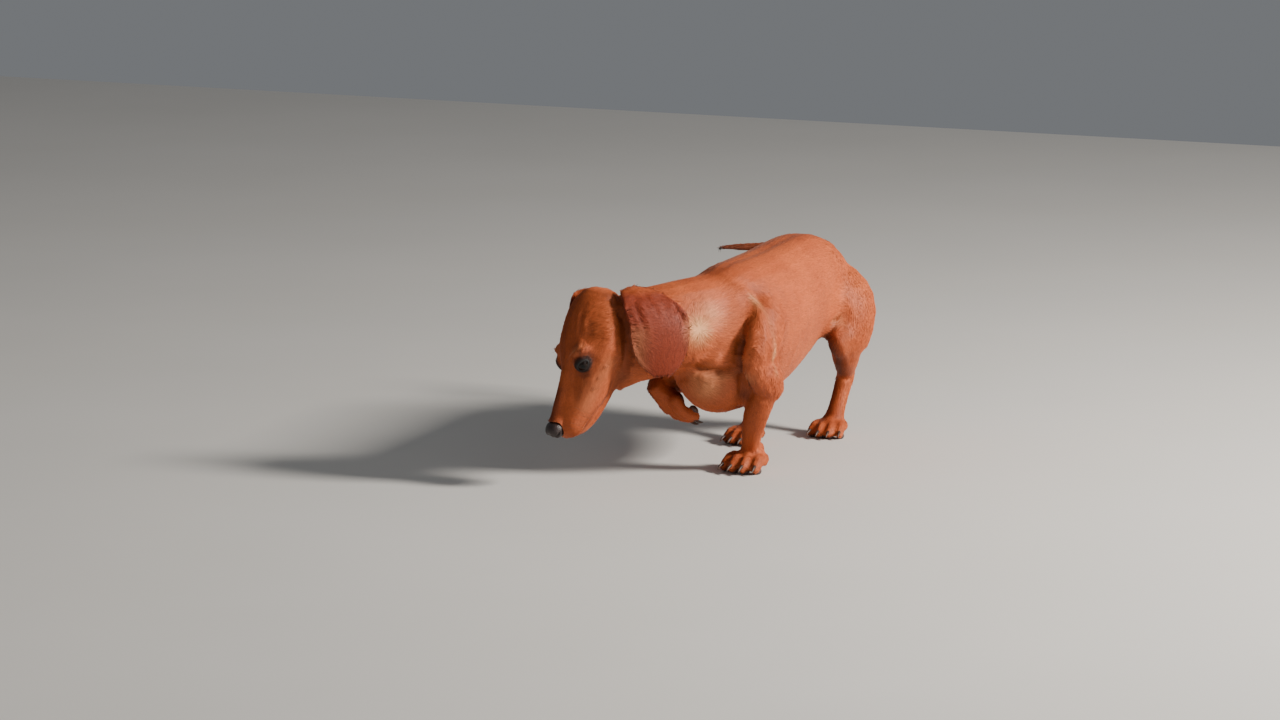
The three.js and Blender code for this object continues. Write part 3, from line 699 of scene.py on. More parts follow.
LIE = [
    ((140, -6, 172), (20, 0, 160), 55, 8.0), ((20, 0, 160), (-190, 0, 158), 50, 8.5),
    ((216, -78, 172), (136, -20, 160), 45, 7.5), ((120, 50, 196), (112, 54, 106), 20, 7.0),
    ((120, -50, 196), (104, -58, 112), 20, 7.0), ((106, 47, 100), (92, 26, 18), 13, 5.5),
    ((88, -60, 102), (150, -66, 99), 13, 5.5), ((-150, 44, 196), (-138, 52, 116), 26, 7.5),
    ((-126, 50, 112), (-170, 36, 76), 20, 7.0), ((-172, 35, 74), (-146, 30, 16), 11, 5.5),
    ((-138, -42, 190), (-82, -54, 128), 26, 7.5), ((-76, -54, 124), (-110, -45, 70), 20, 7.0),
    ((-112, -45, 66), (-68, -43, 16), 11, 5.5),
    ((-180, -4, 206), (-222, -18, 210), 12, 7.5), ((-222, -18, 210), (-242, -64, 206), 8, 7.0),
    ((-242, -64, 206), (-206, -143, 204), 5, 7.0),
]
HEAD_LIE = [
    ((76, 0, 6), (16, 0, 10), 8, 3.0), ((16, 0, 12), (-80, 0, 12), 14, 4.6),
    ((74, 10, -12), (20, 16, -14), 8, 3.0), ((20, 20, -14), (-70, 30, -18), 16, 4.4),
    ((60, 0, -34), (-10, 0, -38), 6, 3.6), ((-10, 0, -40), (-90, 0, -24), 12, 6.0),
]
EAR_LIE = [((12, -6), (44, 30)), ((44, 30), (44, 86)), ((10, 10), (16, 60)), ((60, 10), (62, 66))]
EAR_THICK, EAR_HAIR = 3.0, 5.0
PAW_THICK, PAW_HAIR = 10.0, 4.0
WHORL = np.array([183.0, 3.0, 174.0])  # where the hair of the neck springs from
WHORL_REACH, WHORL_PULL = 26.0, 1.4


def lie_table():
    """Starts, ends, half thickness and hair length of every bone and run of the coat."""
    rows = list(LIE)
    for start, end, thick, hair in HEAD_LIE:
        for side in ((1, -1) if start[1] or end[1] else (1,)):
            flip = np.array([1, side, 1])
            rows.append((from_head(start * flip), from_head(end * flip), thick, hair))
    for which, (side, root, drape) in EARS.items():
        for (r0, s0), (r1, s1) in EAR_LIE:
            ends = []
            for r, s in ((r0, s0), (r1, s1)):
                out = ear_fall(s, drape) + 2
                ends.append(root + np.array([r, s, out]) @ ear_frame(side))
            rows.append((ends[0], ends[1], EAR_THICK, EAR_HAIR))
    for paw, (at, axes, scale) in PAW_FRAMES.items():
        start, end = from_paw(paw, (-14, 0, 16)), from_paw(paw, (28, 0, 8))
        rows.append((start, end, PAW_THICK * scale, PAW_HAIR))
    starts, ends = (np.array([row[i] for row in rows], float) for i in (0, 1))
    return starts, ends, np.array([row[2] for row in rows]), np.array([row[3] for row in rows])


def coat_lie(points, normals):
    """Direction and length of the hair at each point: the mean of the bones' directions, weighted by
    one over the fourth power of the distance beyond each one's thickness, laid onto the skin."""
    starts, ends, thick, hair = lie_table()
    flow = np.zeros_like(points)
    length = np.zeros(len(points))
    total = np.zeros(len(points))
    for a, b, t, h in zip(starts, ends, thick, hair):
        gap, _ = away_from(points, [a, b])
        weight = 1 / (np.maximum(gap - t, 0) + 3) ** 4
        flow += weight[:, None] * unit(b - a)
        length += weight * h
        total += weight
    flow = flow / total[:, None]
    spread = points - WHORL
    ring = np.exp(-(np.linalg.norm(spread, axis=1) / WHORL_REACH) ** 2)[:, None]
    flow = flow * (1 - ring) + unit(spread) * ring * WHORL_PULL
    flow = flow - normals * (flow * normals).sum(1, keepdims=True)
    return unit(flow), length / total


# Markings and painted light, alike on skin and coat: coat colour, painted shade in folds, hollows and shaded
# faces, and painted highlight on lit edges; each a place or a path, its reach and its share of the colour

# Pale spots: the hair whorl and the tan round it, and the paler belly; painted highlight on the bulge of the
# brisket and on both flank folds.
PALE_AND_HIGHLIGHT_SPOTS = [(WHORL, 13, 0.9), ((170, 10, 188), 15, 0.35), ((168, 4, 108), 18, 0.35),
              ((-114, 40, 138), 11, 0.7), ((-70, 0, 92), 34, 0.25), ((-96, -42, 132), 16, 0.4)]
# Pale lines: the arc behind the shoulder where the hair turns; painted highlight along the bulge of the
# brisket under the breast fold.
PALE_AND_HIGHLIGHT_LINES = [(((121, 38, 205), (124, 57, 178), (122, 67, 150), (118, 71, 124)), 4, 0.5),
              (((176, -8, 118), (160, 26, 116), (146, 50, 122)), 8, 0.25)]
# Dark lines: painted shade along the tail, and a darker line along the back.
DARK_AND_SHADE_LINES = [(((-178, -4, 216), (-222, -18, 218), (-243, -64, 208), (-206, -143, 204)), 12, 0.7),
              (((120, 0, 240), (20, 0, 242), (-120, 0, 244), (-170, 0, 226)), 14, 0.25)]
# Painted shade: in the armpit and the breast fold, on the shaded inner faces of the left gaskin and hock, and
# under the belly.
FOLD_SHADE = [
    (ARMPIT, 8, 0.7),
    (BREAST_FOLD[1:], 4.5, 0.5),
    (((-107, 37, 132), (-97, 43, 120), (-100, 46, 110), (-123, 43, 91), (-146, 36, 74)), 11, 0.8),
    (((-158, 26, 60), (-146, 22, 34)), 9, 0.45),
    (((150, -4, 104), (110, 0, 96), (60, 0, 92)), 18, 0.22)]
# Painted shade in the hollow at each ear's root and in the fold behind the cheek.
HEAD_FOLD_SHADE = [(((-80, 24, 6), (-74, 30, -3), (-66, 33, -12), (-52.7, 37, -22), (-37.5, 37, -30),
                (-12, 29, -41), (2, 21, -46), (20, 14, -50)), 7, 0.5)]
# Painted shade on the top of the muzzle by the nose and in the furrow of the forehead.
HEAD_SHADE = [(((80, 0, 6), (60, 0, 13), (40, 0, 14)), 9, 0.55), (((10, 0, 17), (-60, 0, 27)), 8, 0.2)]
# Painted highlight along the side of the muzzle and on the brow; a paler throat.
HEAD_PALE_AND_HIGHLIGHT = [(((46, 19, -14), (20, 23, -16), (-6, 30, -20)), 9, 0.14),
             (((-4, 22, 20), (-14, 28, 17)), 5, 0.14),
             (((-10, 0, -44), (-60, 0, -40)), 16, 0.35)]
WARTS = [(0.4, 34.6, -16.9), (13.8, 30.3, -15.9), (26.7, 26.8, -14.9)]
WART_REACH, WART_DARK = 1.9, 0.55
EYE_DARK_AND_SHADE_FROM, EYE_DARK_AND_SHADE_RUN = 8.5, 5.5  # mm outside the lids' edge where the dark round the eye begins, and its run: dark lid rims widened by painted shade round the eye
LID_BARE = 2.6  # mm outside the lids' edge that are bare
LIP_BARE, LIP_DARK_REACH, LIP_DARK = 1.5, 3.0, 0.5
# painted sheen on the front and lower part of each ear: its place rearwards, reach and share
EAR_FRONT, EAR_FRONT_REACH, EAR_FRONT_SHEEN = 12.0, 9.0, 0.16


def faded(points, lines):
    """The most that any line gives: its share times exp(-(distance / reach)^2)."""
    total = np.zeros(len(points))
    for line, reach, amount in lines:
        gap, _ = away_from(points, line)
        total = np.maximum(total, amount * np.exp(-(gap / reach) ** 2))
    return total


def markings_and_painted_light(points):
    """Shares of ear red, pale coat with painted highlight, dark coat with painted shade, and bare leather at
    each point.
    """
    ear = ear_share(points)
    pale_and_highlight = faded(points, PALE_AND_HIGHLIGHT_LINES)
    for at, reach, amount in PALE_AND_HIGHLIGHT_SPOTS:
        gap = np.linalg.norm(points - at, axis=1)
        pale_and_highlight = np.maximum(pale_and_highlight, amount * np.exp(-(gap / reach) ** 2))
    pale_and_highlight = np.maximum(pale_and_highlight, faded(points, on_head(both_sides(HEAD_PALE_AND_HIGHLIGHT))))
    warts = [((at, np.array(at) + 0.2), WART_REACH, WART_DARK) for at in WARTS]
    on_both = on_head(both_sides(HEAD_SHADE + HEAD_FOLD_SHADE + warts))
    dark_and_shade = faded(points, DARK_AND_SHADE_LINES + FOLD_SHADE + on_both)
    bare = np.zeros(len(points))
    for side in (1, -1):
        depth = eye_depth(points, side)
        # dark lid rims, widened by painted shade round the eye
        dark_and_shade = np.maximum(dark_and_shade, smooth_step((depth + EYE_DARK_AND_SHADE_FROM) / EYE_DARK_AND_SHADE_RUN))
        bare = np.maximum(bare, smooth_step(depth + LID_BARE))
        gap, _ = away_from(points, mouth_line(side))
        bare = np.maximum(bare, np.exp(-(gap / LIP_BARE) ** 2))
        dark_and_shade = np.maximum(dark_and_shade, LIP_DARK * np.exp(-(gap / LIP_DARK_REACH) ** 2))
    for which in EARS:
        r, s, _ = ear_places(points, which)
        # painted sheen, pale, on the front and lower part of each ear leaf
        front = EAR_FRONT_SHEEN * np.exp(-((r - EAR_FRONT) / EAR_FRONT_REACH) ** 2)
        pale_and_highlight = np.maximum(pale_and_highlight, front * smooth_step((s - 22) / 18) * ear)
    return {"ear": ear, "pale_and_highlight": pale_and_highlight, "dark_and_shade": dark_and_shade, "bare": bare}


# The skin

EVEN_SKIN, EVEN_ROOTS, SKIN_ROUNDS = 0.35, 0.45, 8
BODY_ROUNDS = 26
LOWEST_SKIN = 0.25  # mm over the floor


def body_share(points):
    """How much a place is evened out: whole on the trunk, less on legs, head and ears."""
    gap, _ = away_from(points, [(170, -20, 150), (60, 0, 160), (-170, 0, 170)])
    head_gap, _ = away_from(points, from_head([(60, 0, -10), (-60, 0, -8)]))
    legs = smooth_step((points[:, 2] - 84) / 30)
    return smooth_step((100 - gap) / 45) * legs * smooth_step((head_gap - 34) / 30)


def grow_skin():
    """The fused body, evened, moved in by the coat's depth, with its forms raised."""
    points, quads = largest_part(*fuse(FLESH + ["eye_left", "eye_right"]))
    edges = edges_of(quads)
    off_ears = 1 - ear_share(points)
    points = relax(points, edges, (EVEN_SKIN + EVEN_ROOTS * root_share(points))[:, None], SKIN_ROUNDS)
    points = fill_hollows(points, quads, edges, fill_share(points) * off_ears)
    points = relax(points, edges, (body_share(points) * off_ears)[:, None], BODY_ROUNDS)
    normals = normals_of(points, quads)
    ear = ear_share(points)[:, None]
    points = points - normals * ((OVERLAP + COAT_DEPTH) * (1 - ear) + (EAR_SWELL + EAR_DEPTH) * ear)
    points = set_eyes(points)
    points = seat_nose(points)
    normals = normals_of(points, quads)
    head_forms = on_head(both_sides(HEAD_FORMS) + HEAD_MIDDLE)
    lift = raised(points, normals, BODY_FORMS + both_sides(RIBS) + head_forms)
    lift += lips(points) + ear_folds(points)
    points = points + lift[:, None] * normals
    points[:, 2] = np.maximum(points[:, 2], LOWEST_SKIN)
    return points, quads


skin_points, skin_quads = grow_skin()
skin_normals = normals_of(skin_points, skin_quads)
skin_marks_and_light = markings_and_painted_light(skin_points)
skin = make_mesh("skin", to_world(skin_points), skin_quads)
for mark, values in skin_marks_and_light.items():
    add_float(skin, mark, values)
add_float(skin, "tone", np.zeros(len(skin_points)))
add_float(skin, "coat", np.zeros(len(skin_points)))


UNWRAP_TURN = math.radians(66)
UNWRAP_GAP = 0.002


def unwrap(piece):
    """The piece's own unwrap by the turn of its faces, as UV at each corner."""
    bpy.ops.object.select_all(action="DESELECT")
    bpy.context.view_layer.objects.active = piece
    piece.select_set(True)
    bpy.ops.object.mode_set(mode="EDIT")
    bpy.ops.mesh.select_all(action="SELECT")
    bpy.ops.uv.smart_project(angle_limit=UNWRAP_TURN, island_margin=UNWRAP_GAP)
    bpy.ops.object.mode_set(mode="OBJECT")
    piece.data.uv_layers[0].name = "OFBake"
    uv = np.zeros(len(piece.data.loops) * 2)
    piece.data.uv_layers["OFBake"].data.foreach_get("uv", uv)
    return uv.reshape(-1, 2)


skin_uv = unwrap(skin)


# Materials

def linear(red, green, blue):
    """Linear colour of a screen colour from 0 to 255."""
    shares = [((c / 255 + 0.055) / 1.055) ** 2.4 if c > 10 else c / 3295 for c in (red, green, blue)]
    return tuple(shares) + (1.0,)


def new_material(name, roughness, **inputs):
    """A material and its shader, with the named sockets set."""
    material = bpy.data.materials.new(name)
    material.use_nodes = True
    shader = material.node_tree.nodes["Principled BSDF"]
    shader.inputs["Roughness"].default_value = roughness
    for key, value in inputs.items():
        shader.inputs[key.replace("_", " ")].default_value = value
    return material, shader


class Nodes:
    """Short names for the nodes that the finishes are made of."""

    def __init__(self, material):
        """Works on one material's nodes."""
        self.tree = material.node_tree

    def link(self, source, target):
        """Joins an output to an input."""
        self.tree.links.new(source, target)

    def add(self, kind, **values):
        """New node with the named settings."""
        node = self.tree.nodes.new(kind)
        for key, value in values.items():
            setattr(node, key, value)
        return node

    def attribute(self, name):
        """One of the piece's own numbers."""
        return self.add("ShaderNodeAttribute", attribute_name=name).outputs["Fac"]

    def place(self, scale=(1, 1, 1)):
        """Place on the piece in metres, scaled along each axis."""
        mapping = self.add("ShaderNodeMapping")
        mapping.inputs["Scale"].default_value = scale
        self.link(self.add("ShaderNodeTexCoord").outputs["Object"], mapping.inputs["Vector"])
        return mapping.outputs["Vector"]

    def noise(self, scale, place=None, detail=3.0, rough=0.5):
        """Soft noise at so many cells a metre."""
        node = self.add("ShaderNodeTexNoise")
        node.inputs["Scale"].default_value = scale
        node.inputs["Detail"].default_value = detail
        node.inputs["Roughness"].default_value = rough
        self.link(place or self.place(), node.inputs["Vector"])
        return node.outputs["Fac"]

    def math(self, operation, a, b):
        """One sum of two values."""
        node = self.add("ShaderNodeMath", operation=operation)
        for i, value in enumerate((a, b)):
            if isinstance(value, (int, float)):
                node.inputs[i].default_value = value
            else:
                self.link(value, node.inputs[i])
        return node.outputs[0]

    def ramp(self, value, low, high, to_low=0.0, to_high=1.0):
        """A value's run from low to high made one from to_low to to_high, held at its ends."""
        node = self.add("ShaderNodeMapRange", clamp=True)
        ends = {"From Min": low, "From Max": high, "To Min": to_low, "To Max": to_high}
        for key, number in ends.items():
            node.inputs[key].default_value = number
        self.link(value, node.inputs["Value"])
        return node.outputs["Result"]

    def mix(self, share, a, b):
        """Colour a going over into b by the share."""
        node = self.add("ShaderNodeMix", data_type="RGBA")
        for socket, value in ((node.inputs[0], share), (node.inputs[6], a), (node.inputs[7], b)):
            if isinstance(value, (int, float, tuple)):
                socket.default_value = value
            else:
                self.link(value, socket)
        return node.outputs[2]

    def bump(self, height, strength, distance, shader):
        """Relief of a height, so many metres deep."""
        node = self.add("ShaderNodeBump")
        node.inputs["Strength"].default_value = strength
        node.inputs["Distance"].default_value = distance
        self.link(height, node.inputs["Height"])
        self.link(node.outputs["Normal"], shader.inputs["Normal"])


RED = linear(180, 84, 42)
RED_DEEP = linear(148, 60, 27)
RED_WARM = linear(208, 116, 66)
EAR_RED = linear(118, 42, 20)
EAR_LIGHT = linear(138, 54, 27)
SHEEN_TINT = linear(255, 205, 185)
PALE_AND_HIGHLIGHT = linear(226, 166, 116)
DARK_AND_SHADE = linear(46, 20, 12)
LEATHER = linear(38, 26, 24)


def coat_material(name, roughness, fine):
    """Red coat: one colour carried by the markings and by painted shade and painted highlight, broken by slow
    and fine variation and by each tuft's own tone, with a grain of hairs."""
    material, shader = new_material(name, roughness, Specular_IOR_Level=0.3, Sheen_Weight=0.13,
                                    Sheen_Roughness=0.4, Sheen_Tint=SHEEN_TINT)
    n = Nodes(material)
    slow = n.ramp(n.noise(16, detail=4), 0.3, 0.7)
    grain = n.ramp(n.noise(520, n.place((1, 2.2, 2.2)), detail=3, rough=0.6), 0.3, 0.7)
    colour = n.mix(slow, RED_DEEP, RED)
    colour = n.mix(n.math("MULTIPLY", grain, 0.35), colour, RED_WARM)
    colour = n.mix(n.attribute("ear"), colour, n.mix(grain, EAR_RED, EAR_LIGHT))
    # pale coat, and painted highlight on lit edges
    colour = n.mix(n.attribute("pale_and_highlight"), colour, PALE_AND_HIGHLIGHT)
    # dark coat, and painted shade in folds, hollows and shaded faces
    colour = n.mix(n.attribute("dark_and_shade"), colour, DARK_AND_SHADE)
    tone = n.ramp(n.attribute("tone"), -1, 1, 0.62, 1.42)
    bright = n.add("ShaderNodeVectorMath", operation="SCALE")
    n.link(colour, bright.inputs[0])
    n.link(tone, bright.inputs["Scale"])
    bare = n.attribute("bare")
    colour = n.mix(bare, bright.outputs[0], LEATHER)
    n.link(colour, shader.inputs["Base Color"])
    if fine:
        height = n.math("ADD", grain, n.math("MULTIPLY", n.noise(1500, detail=2), 0.5))
        n.bump(height, 0.35, 0.0005, shader)
    return material


def plain_leather(name, colour, light, roughness, cells, depth):
    """Leather of fine raised cells, lighter on their crowns."""
    material, shader = new_material(name, roughness, Specular_IOR_Level=0.55)
    n = Nodes(material)
    voronoi = n.add("ShaderNodeTexVoronoi", feature="SMOOTH_F1")
    voronoi.inputs["Scale"].default_value = cells
    n.link(n.place(), voronoi.inputs["Vector"])
    crown = n.ramp(voronoi.outputs["Distance"], 0.0, 0.75, 1.0, 0.0)
    slow = n.noise(120)
    colour_out = n.mix(n.math("MULTIPLY", crown, n.ramp(slow, 0.3, 0.75)), colour, light)
    n.link(colour_out, shader.inputs["Base Color"])
    n.bump(crown, 0.8, depth, shader)
    return material


def eye_material():
    """Dark brown iris with fine rays round a black pupil, a darker rim and a little of the white."""
    material, shader = new_material("eye_finish", 0.06, Coat_Weight=0.2, Coat_Roughness=0.03,
                                    Specular_IOR_Level=0.3, IOR=1.36)
    n = Nodes(material)
    polar, turn = n.attribute("polar"), n.attribute("turn")
    coordinates = n.add("ShaderNodeCombineXYZ")
    n.link(n.math("MULTIPLY", turn, 18.0), coordinates.inputs[0])
    n.link(n.math("MULTIPLY", polar, 3.0), coordinates.inputs[1])
    rays = n.noise(1.6, coordinates.outputs[0], detail=4)
    iris = n.mix(n.ramp(rays, 0.35, 0.7), linear(13, 7, 5), linear(36, 19, 10))
    iris = n.mix(n.ramp(polar, 0.20, 0.26), linear(4, 3, 3), iris)
    iris = n.mix(n.ramp(polar, 0.56, 0.66), iris, linear(20, 10, 7))
    veins = n.ramp(n.noise(300, detail=5), 0.5, 0.62)
    white = n.mix(veins, linear(190, 168, 150), linear(150, 84, 70))
    n.link(n.mix(n.ramp(polar, 0.74, 0.80), iris, white), shader.inputs["Base Color"])
    n.bump(rays, 0.05, 0.0002, shader)
    return material


def horn_material():
    """Dark horn, lighter towards its tip, with a fine dark mottling in low relief."""
    material, shader = new_material("claw_horn", 0.48, Specular_IOR_Level=0.4)
    n = Nodes(material)
    along = n.attribute("along")
    grooves = n.noise(900, detail=3)
    base = n.mix(n.ramp(along, 0.0, 1.0), linear(50, 32, 25), linear(88, 62, 46))
    n.link(n.mix(n.ramp(grooves, 0.4, 0.7), base, linear(34, 23, 19)), shader.inputs["Base Color"])
    n.bump(grooves, 0.3, 0.0002, shader)
    return material


def whisker_material():
    """Hair that goes from dark brown to fawn."""
    material, shader = new_material("whisker", 0.35)
    n = Nodes(material)
    n.link(n.mix(n.noise(400), linear(60, 36, 24), linear(150, 110, 78)), shader.inputs["Base Color"])
    return material


skin_finish = coat_material("skin_coat", 0.62, True)
tuft_finish = coat_material("hair_coat", 0.58, False)
nose_finish = plain_leather("nose_leather", linear(34, 21, 19), linear(64, 43, 41), 0.42, 1400, 0.0003)
lid_finish = plain_leather("lid_leather", linear(16, 9, 7), linear(26, 15, 11), 0.62, 2200, 0.00015)
pad_finish = plain_leather("pad_leather", linear(62, 42, 38), linear(112, 82, 74), 0.55, 1300, 0.0004)
eye_finish = eye_material()
claw_finish = horn_material()
whisker_finish = whisker_material()
finish(skin, skin_finish, FLESH)


# Eyes and lids

CORNEA_EDGE, CORNEA_HEIGHT = 0.76, 0.8  # radians from the gaze, and mm
EYE_PLAY = 0.15  # mm that the ball is smaller than its socket


def ball_grid(rows, columns, pole):
    """Angle from the pole and turn round it over a ball, which leaves open an angle of pole at each end."""
    bend = np.linspace(pole, math.pi - pole, rows)[:, None] + np.zeros((1, columns))
    turn = np.linspace(0, 2 * math.pi, columns, endpoint=False)[None, :] + np.zeros((rows, 1))
    return bend, turn


def build_eye(which, side):
    """Ball about the gaze: its radius is the eyeball's, with the cornea raised on it as
    height times (1 - (angle / edge)^2)^2 inside the cornea's edge."""
    rows, columns = 60, 72
    bend, turn = ball_grid(rows, columns, 0.004)
    bulge = CORNEA_HEIGHT * np.clip(1 - (bend / CORNEA_EDGE) ** 2, 0, 1) ** 2
    radius = EYE_RADIUS - EYE_PLAY + bulge
    lean = np.stack([np.sin(bend) * np.cos(turn), np.sin(bend) * np.sin(turn), np.cos(bend)], -1)
    points = from_head(eye_at(side) + radius[..., None] * (lean @ eye_frame(side))).reshape(-1, 3)
    faces = grid_faces(rows, columns)
    if side > 0:
        faces = faces[:, ::-1]
    eye = make_mesh(f"eyeball_{which}", to_world(points), faces)
    add_float(eye, "polar", bend)
    add_float(eye, "turn", np.cos(turn * 3.0) + turn)
    finish(eye, eye_finish, [f"eye_{which}"])


LID_PROFILE = [  # out from the lids' edge, height over the eyeball
    (-0.4, -0.8), (-0.3, 0.0), (-0.1, 0.35), (0.2, 0.6), (0.55, 0.8), (0.95, 0.92), (1.4, 0.85), (1.9, 0.3)]


def build_lids(which, side):
    """Rounded rim carried round the opening: the profile is turned to stand across the edge."""
    columns = 120
    turn = np.linspace(0, 2 * math.pi, columns, endpoint=False)
    edge = np.stack(lid_edge(turn), 1)
    run = np.roll(edge, -1, 0) - np.roll(edge, 1, 0)
    outward = unit(np.stack([run[:, 1], -run[:, 0]], 1))
    profile = fine_path([(o, h, 0) for o, h in LID_PROFILE], 26)[:, :2]
    over = 1 + 0.25 * np.sin(turn)  # the upper lid is the fuller
    place = edge[None] + (profile[:, 0, None] * over)[..., None] * outward[None]
    radius = EYE_RADIUS + profile[:, 1, None] * over
    points = on_eye(place[..., 0], place[..., 1], radius, side).reshape(-1, 3)
    faces = grid_faces(len(profile), columns)
    lids = make_mesh(f"lids_{which}", to_world(points), faces if side > 0 else faces[:, ::-1])
    finish(lids, lid_finish)


for which, side in (("left", 1), ("right", -1)):
    build_eye(which, side)
    build_lids(which, side)


# The nose's own surface

NOSTRIL = [(4.4, 3.0), (5.6, 1.0), (7.6, -0.6), (10.2, -1.2)]  # sideways and up, from its inner end out
NOSTRIL_DEPTH, WING_HEIGHT = 4.2, 1.0
GROOVE_DEPTH, DIP_DEPTH, SLIT_DEPTH = 1.2, 0.7, 1.6  # down the front, over its top and beside each wing


def signed_power(values, power):
    """Size of the values to a power, with their sign kept."""
    return np.sign(values) * np.abs(values) ** power


def build_nose():
    """Rounded box about its middle, the powers of sine and cosine squared off, with a comma-shaped
    nostril sunk on each side, its wing raised, and a groove down the middle of the front."""
    rows, columns = 110, 128
    bend, turn = ball_grid(rows, columns, 0.002)
    wide = signed_power(np.sin(bend), 0.85)
    lean = np.stack([signed_power(np.cos(bend), 0.8), wide * signed_power(np.cos(turn), 0.9),
                     wide * signed_power(np.sin(turn), 0.9)], -1).reshape(-1, 3)
    p = lean * NOSE_HALF
    p[:, 1] *= 1 - 0.18 * smooth_step(-p[:, 2] / 11)  # narrower below
    front = smooth_step((p[:, 0] - 1) / 3)
    flat = np.stack([np.abs(p[:, 1]), p[:, 2]], 1)
    hole, share = away_from(flat, np.array(NOSTRIL))
    width = 1.9 - 0.9 * share
    sink = -NOSTRIL_DEPTH * np.exp(-(hole / width) ** 2) * (1 - 0.45 * share)
    wing = WING_HEIGHT * np.exp(-((hole - 3.0) / 1.4) ** 2) * smooth_step((flat[:, 0] - 3) / 3)
    groove = -GROOVE_DEPTH * np.exp(-(p[:, 1] / 0.75) ** 2) * smooth_step((1.5 - p[:, 2]) / 3)
    dip = -DIP_DEPTH * np.exp(-(p[:, 1] / 3) ** 2) * smooth_step((p[:, 2] - 3) / 4)
    p[:, 0] += front * (sink + wing + groove) + dip * front
    side = np.abs(lean[:, 1])
    slit = -SLIT_DEPTH * np.exp(-((p[:, 2] + 1.2) / 0.9) ** 2) * smooth_step((side - 0.7) / 0.2)
    p[:, 1] += np.sign(p[:, 1]) * slit * smooth_step(p[:, 0] / 3)
    nose = make_mesh("nose_pad", to_world(from_head(NOSE_AT + p)), grid_faces(rows, columns)[:, ::-1])
    finish(nose, nose_finish, ["nose"])


build_nose()


# Claws and pads

TOES = [(-0.36, -6, -9), (-0.13, 0, -2.5), (0.13, 0, 2.5), (0.36, -6, 9)]  # y share, reach, turn
PAW_WIDTH = 44.0
CLAW_LENGTH = 10.0
CLAW_RUN = [(-0.3, 0.2, 2.1, 2.5), (0.1, 0, 2.1, 2.6), (0.45, 0.6, 1.8, 2.2), (0.75, 1.8, 1.4, 1.7),
            (1.0, 3.5, 0.9, 1.1), (1.2, 5.3, 0.2, 0.25)]  # share, drop, half width, half depth
CLAW_ROOT, CLAW_RISE = 26.0, 9.5  # mm ahead of the paw's middle and over its sole


def build_claw(paw, number):
    """Tapered horn: an oval, flatter beneath, carried down a curve from the toe's tip."""
    share_y, reach, turn = TOES[number - 1]
    spread, fan = share_y * PAW_WIDTH, math.tan(math.radians(turn))
    path, half = [], []
    for share, drop, wide, deep in CLAW_RUN:
        out = share * CLAW_LENGTH
        ahead = CLAW_ROOT + out
        path.append((CLAW_ROOT + reach + out, spread + fan * ahead, CLAW_RISE - drop))
        half.append((wide, deep, 0))
    rows, columns = 24, 20
    path, half = fine_path(path, rows), fine_path(half, rows)
    run = unit(np.gradient(path, axis=0))
    across = unit(np.cross([0, 0, 1.0], run))
    up = np.cross(run, across)
    a = np.linspace(0, 2 * math.pi, columns, endpoint=False)
    lift = np.where(np.sin(a) > 0, 1.0, 0.8) * np.sin(a)
    points = (path[:, None] + half[:, 0, None, None] * across[:, None] * np.cos(a)[None, :, None]
              + half[:, 1, None, None] * up[:, None] * lift[None, :, None]).reshape(-1, 3)
    faces = grid_faces(rows, columns)[:, ::-1]
    claw = make_mesh(f"{paw}_nail_{number}", to_world(from_paw(paw, points)), faces)
    add_float(claw, "along", np.repeat(np.linspace(0, 1, rows), columns))
    finish(claw, claw_finish, [f"{paw}_claw_{number}"])


PAD_DEPTH = 0.6  # mm that the pads of the lifted paw stand out from its sole
PAD_FLAT = 0.1  # mm over the floor where the other pads are flat
PALM_PAD = ((-3, 0, 4.0), (10.5, 12.5, 5.4), 0.12)  # middle, half sizes and share of the lobes
TOE_PAD_AHEAD, TOE_PAD_RISE = 20.0, 3.4
TOE_PAD_HALF = (6.6, 4.8, 4.6)


def build_pads(paw):
    """Pads as ovals about their middles, the large one drawn into three lobes by
    1 + share cos(3 turn), flat where they meet the ground."""
    ovals = [PALM_PAD]
    for share_y, reach, toe_turn in TOES:
        fan = math.tan(math.radians(toe_turn))
        at = (TOE_PAD_AHEAD + reach, share_y * PAW_WIDTH + fan * TOE_PAD_AHEAD, TOE_PAD_RISE)
        ovals.append((at, TOE_PAD_HALF, 0.0))
    rows, columns = 20, 40
    bend, turn = ball_grid(rows, columns, 0.01)
    lowest = -PAD_DEPTH if paw == LIFTED_PAW else PAD_FLAT
    points, faces = [], []
    for at, half, lobes in ovals:
        wide = 1 + lobes * np.cos(3 * turn)
        p = np.stack([np.sin(bend) * np.cos(turn) * wide, np.sin(bend) * np.sin(turn) * wide,
                      np.cos(bend)], -1).reshape(-1, 3) * half + at
        p[:, 2] = np.maximum(p[:, 2], lowest)
        faces.append(grid_faces(rows, columns, first=len(points) * rows * columns))
        points.append(p)
    pads = make_mesh(f"{paw}_pads", to_world(from_paw(paw, np.vstack(points))), np.vstack(faces)[:, ::-1])
    finish(pads, pad_finish)


for paw in PAW_FRAMES:
    build_pads(paw)
    for number in range(1, len(TOES) + 1):
        build_claw(paw, number)


# Whiskers

WHISKER_SIDES = ((1, 1.0), (-1, 0.45))  # side and share of the full length
LIP_ROWS, LIP_HAIRS, BROW_HAIRS = 4, 5, 3
HAIR_HALF = 0.12  # mm, half thickness at the root
HAIR_DROOP = np.array([0, 0, -0.22])
HAIR_SPREAD = 0.12
HAIR_LOWEST = 0.8  # mm over the floor


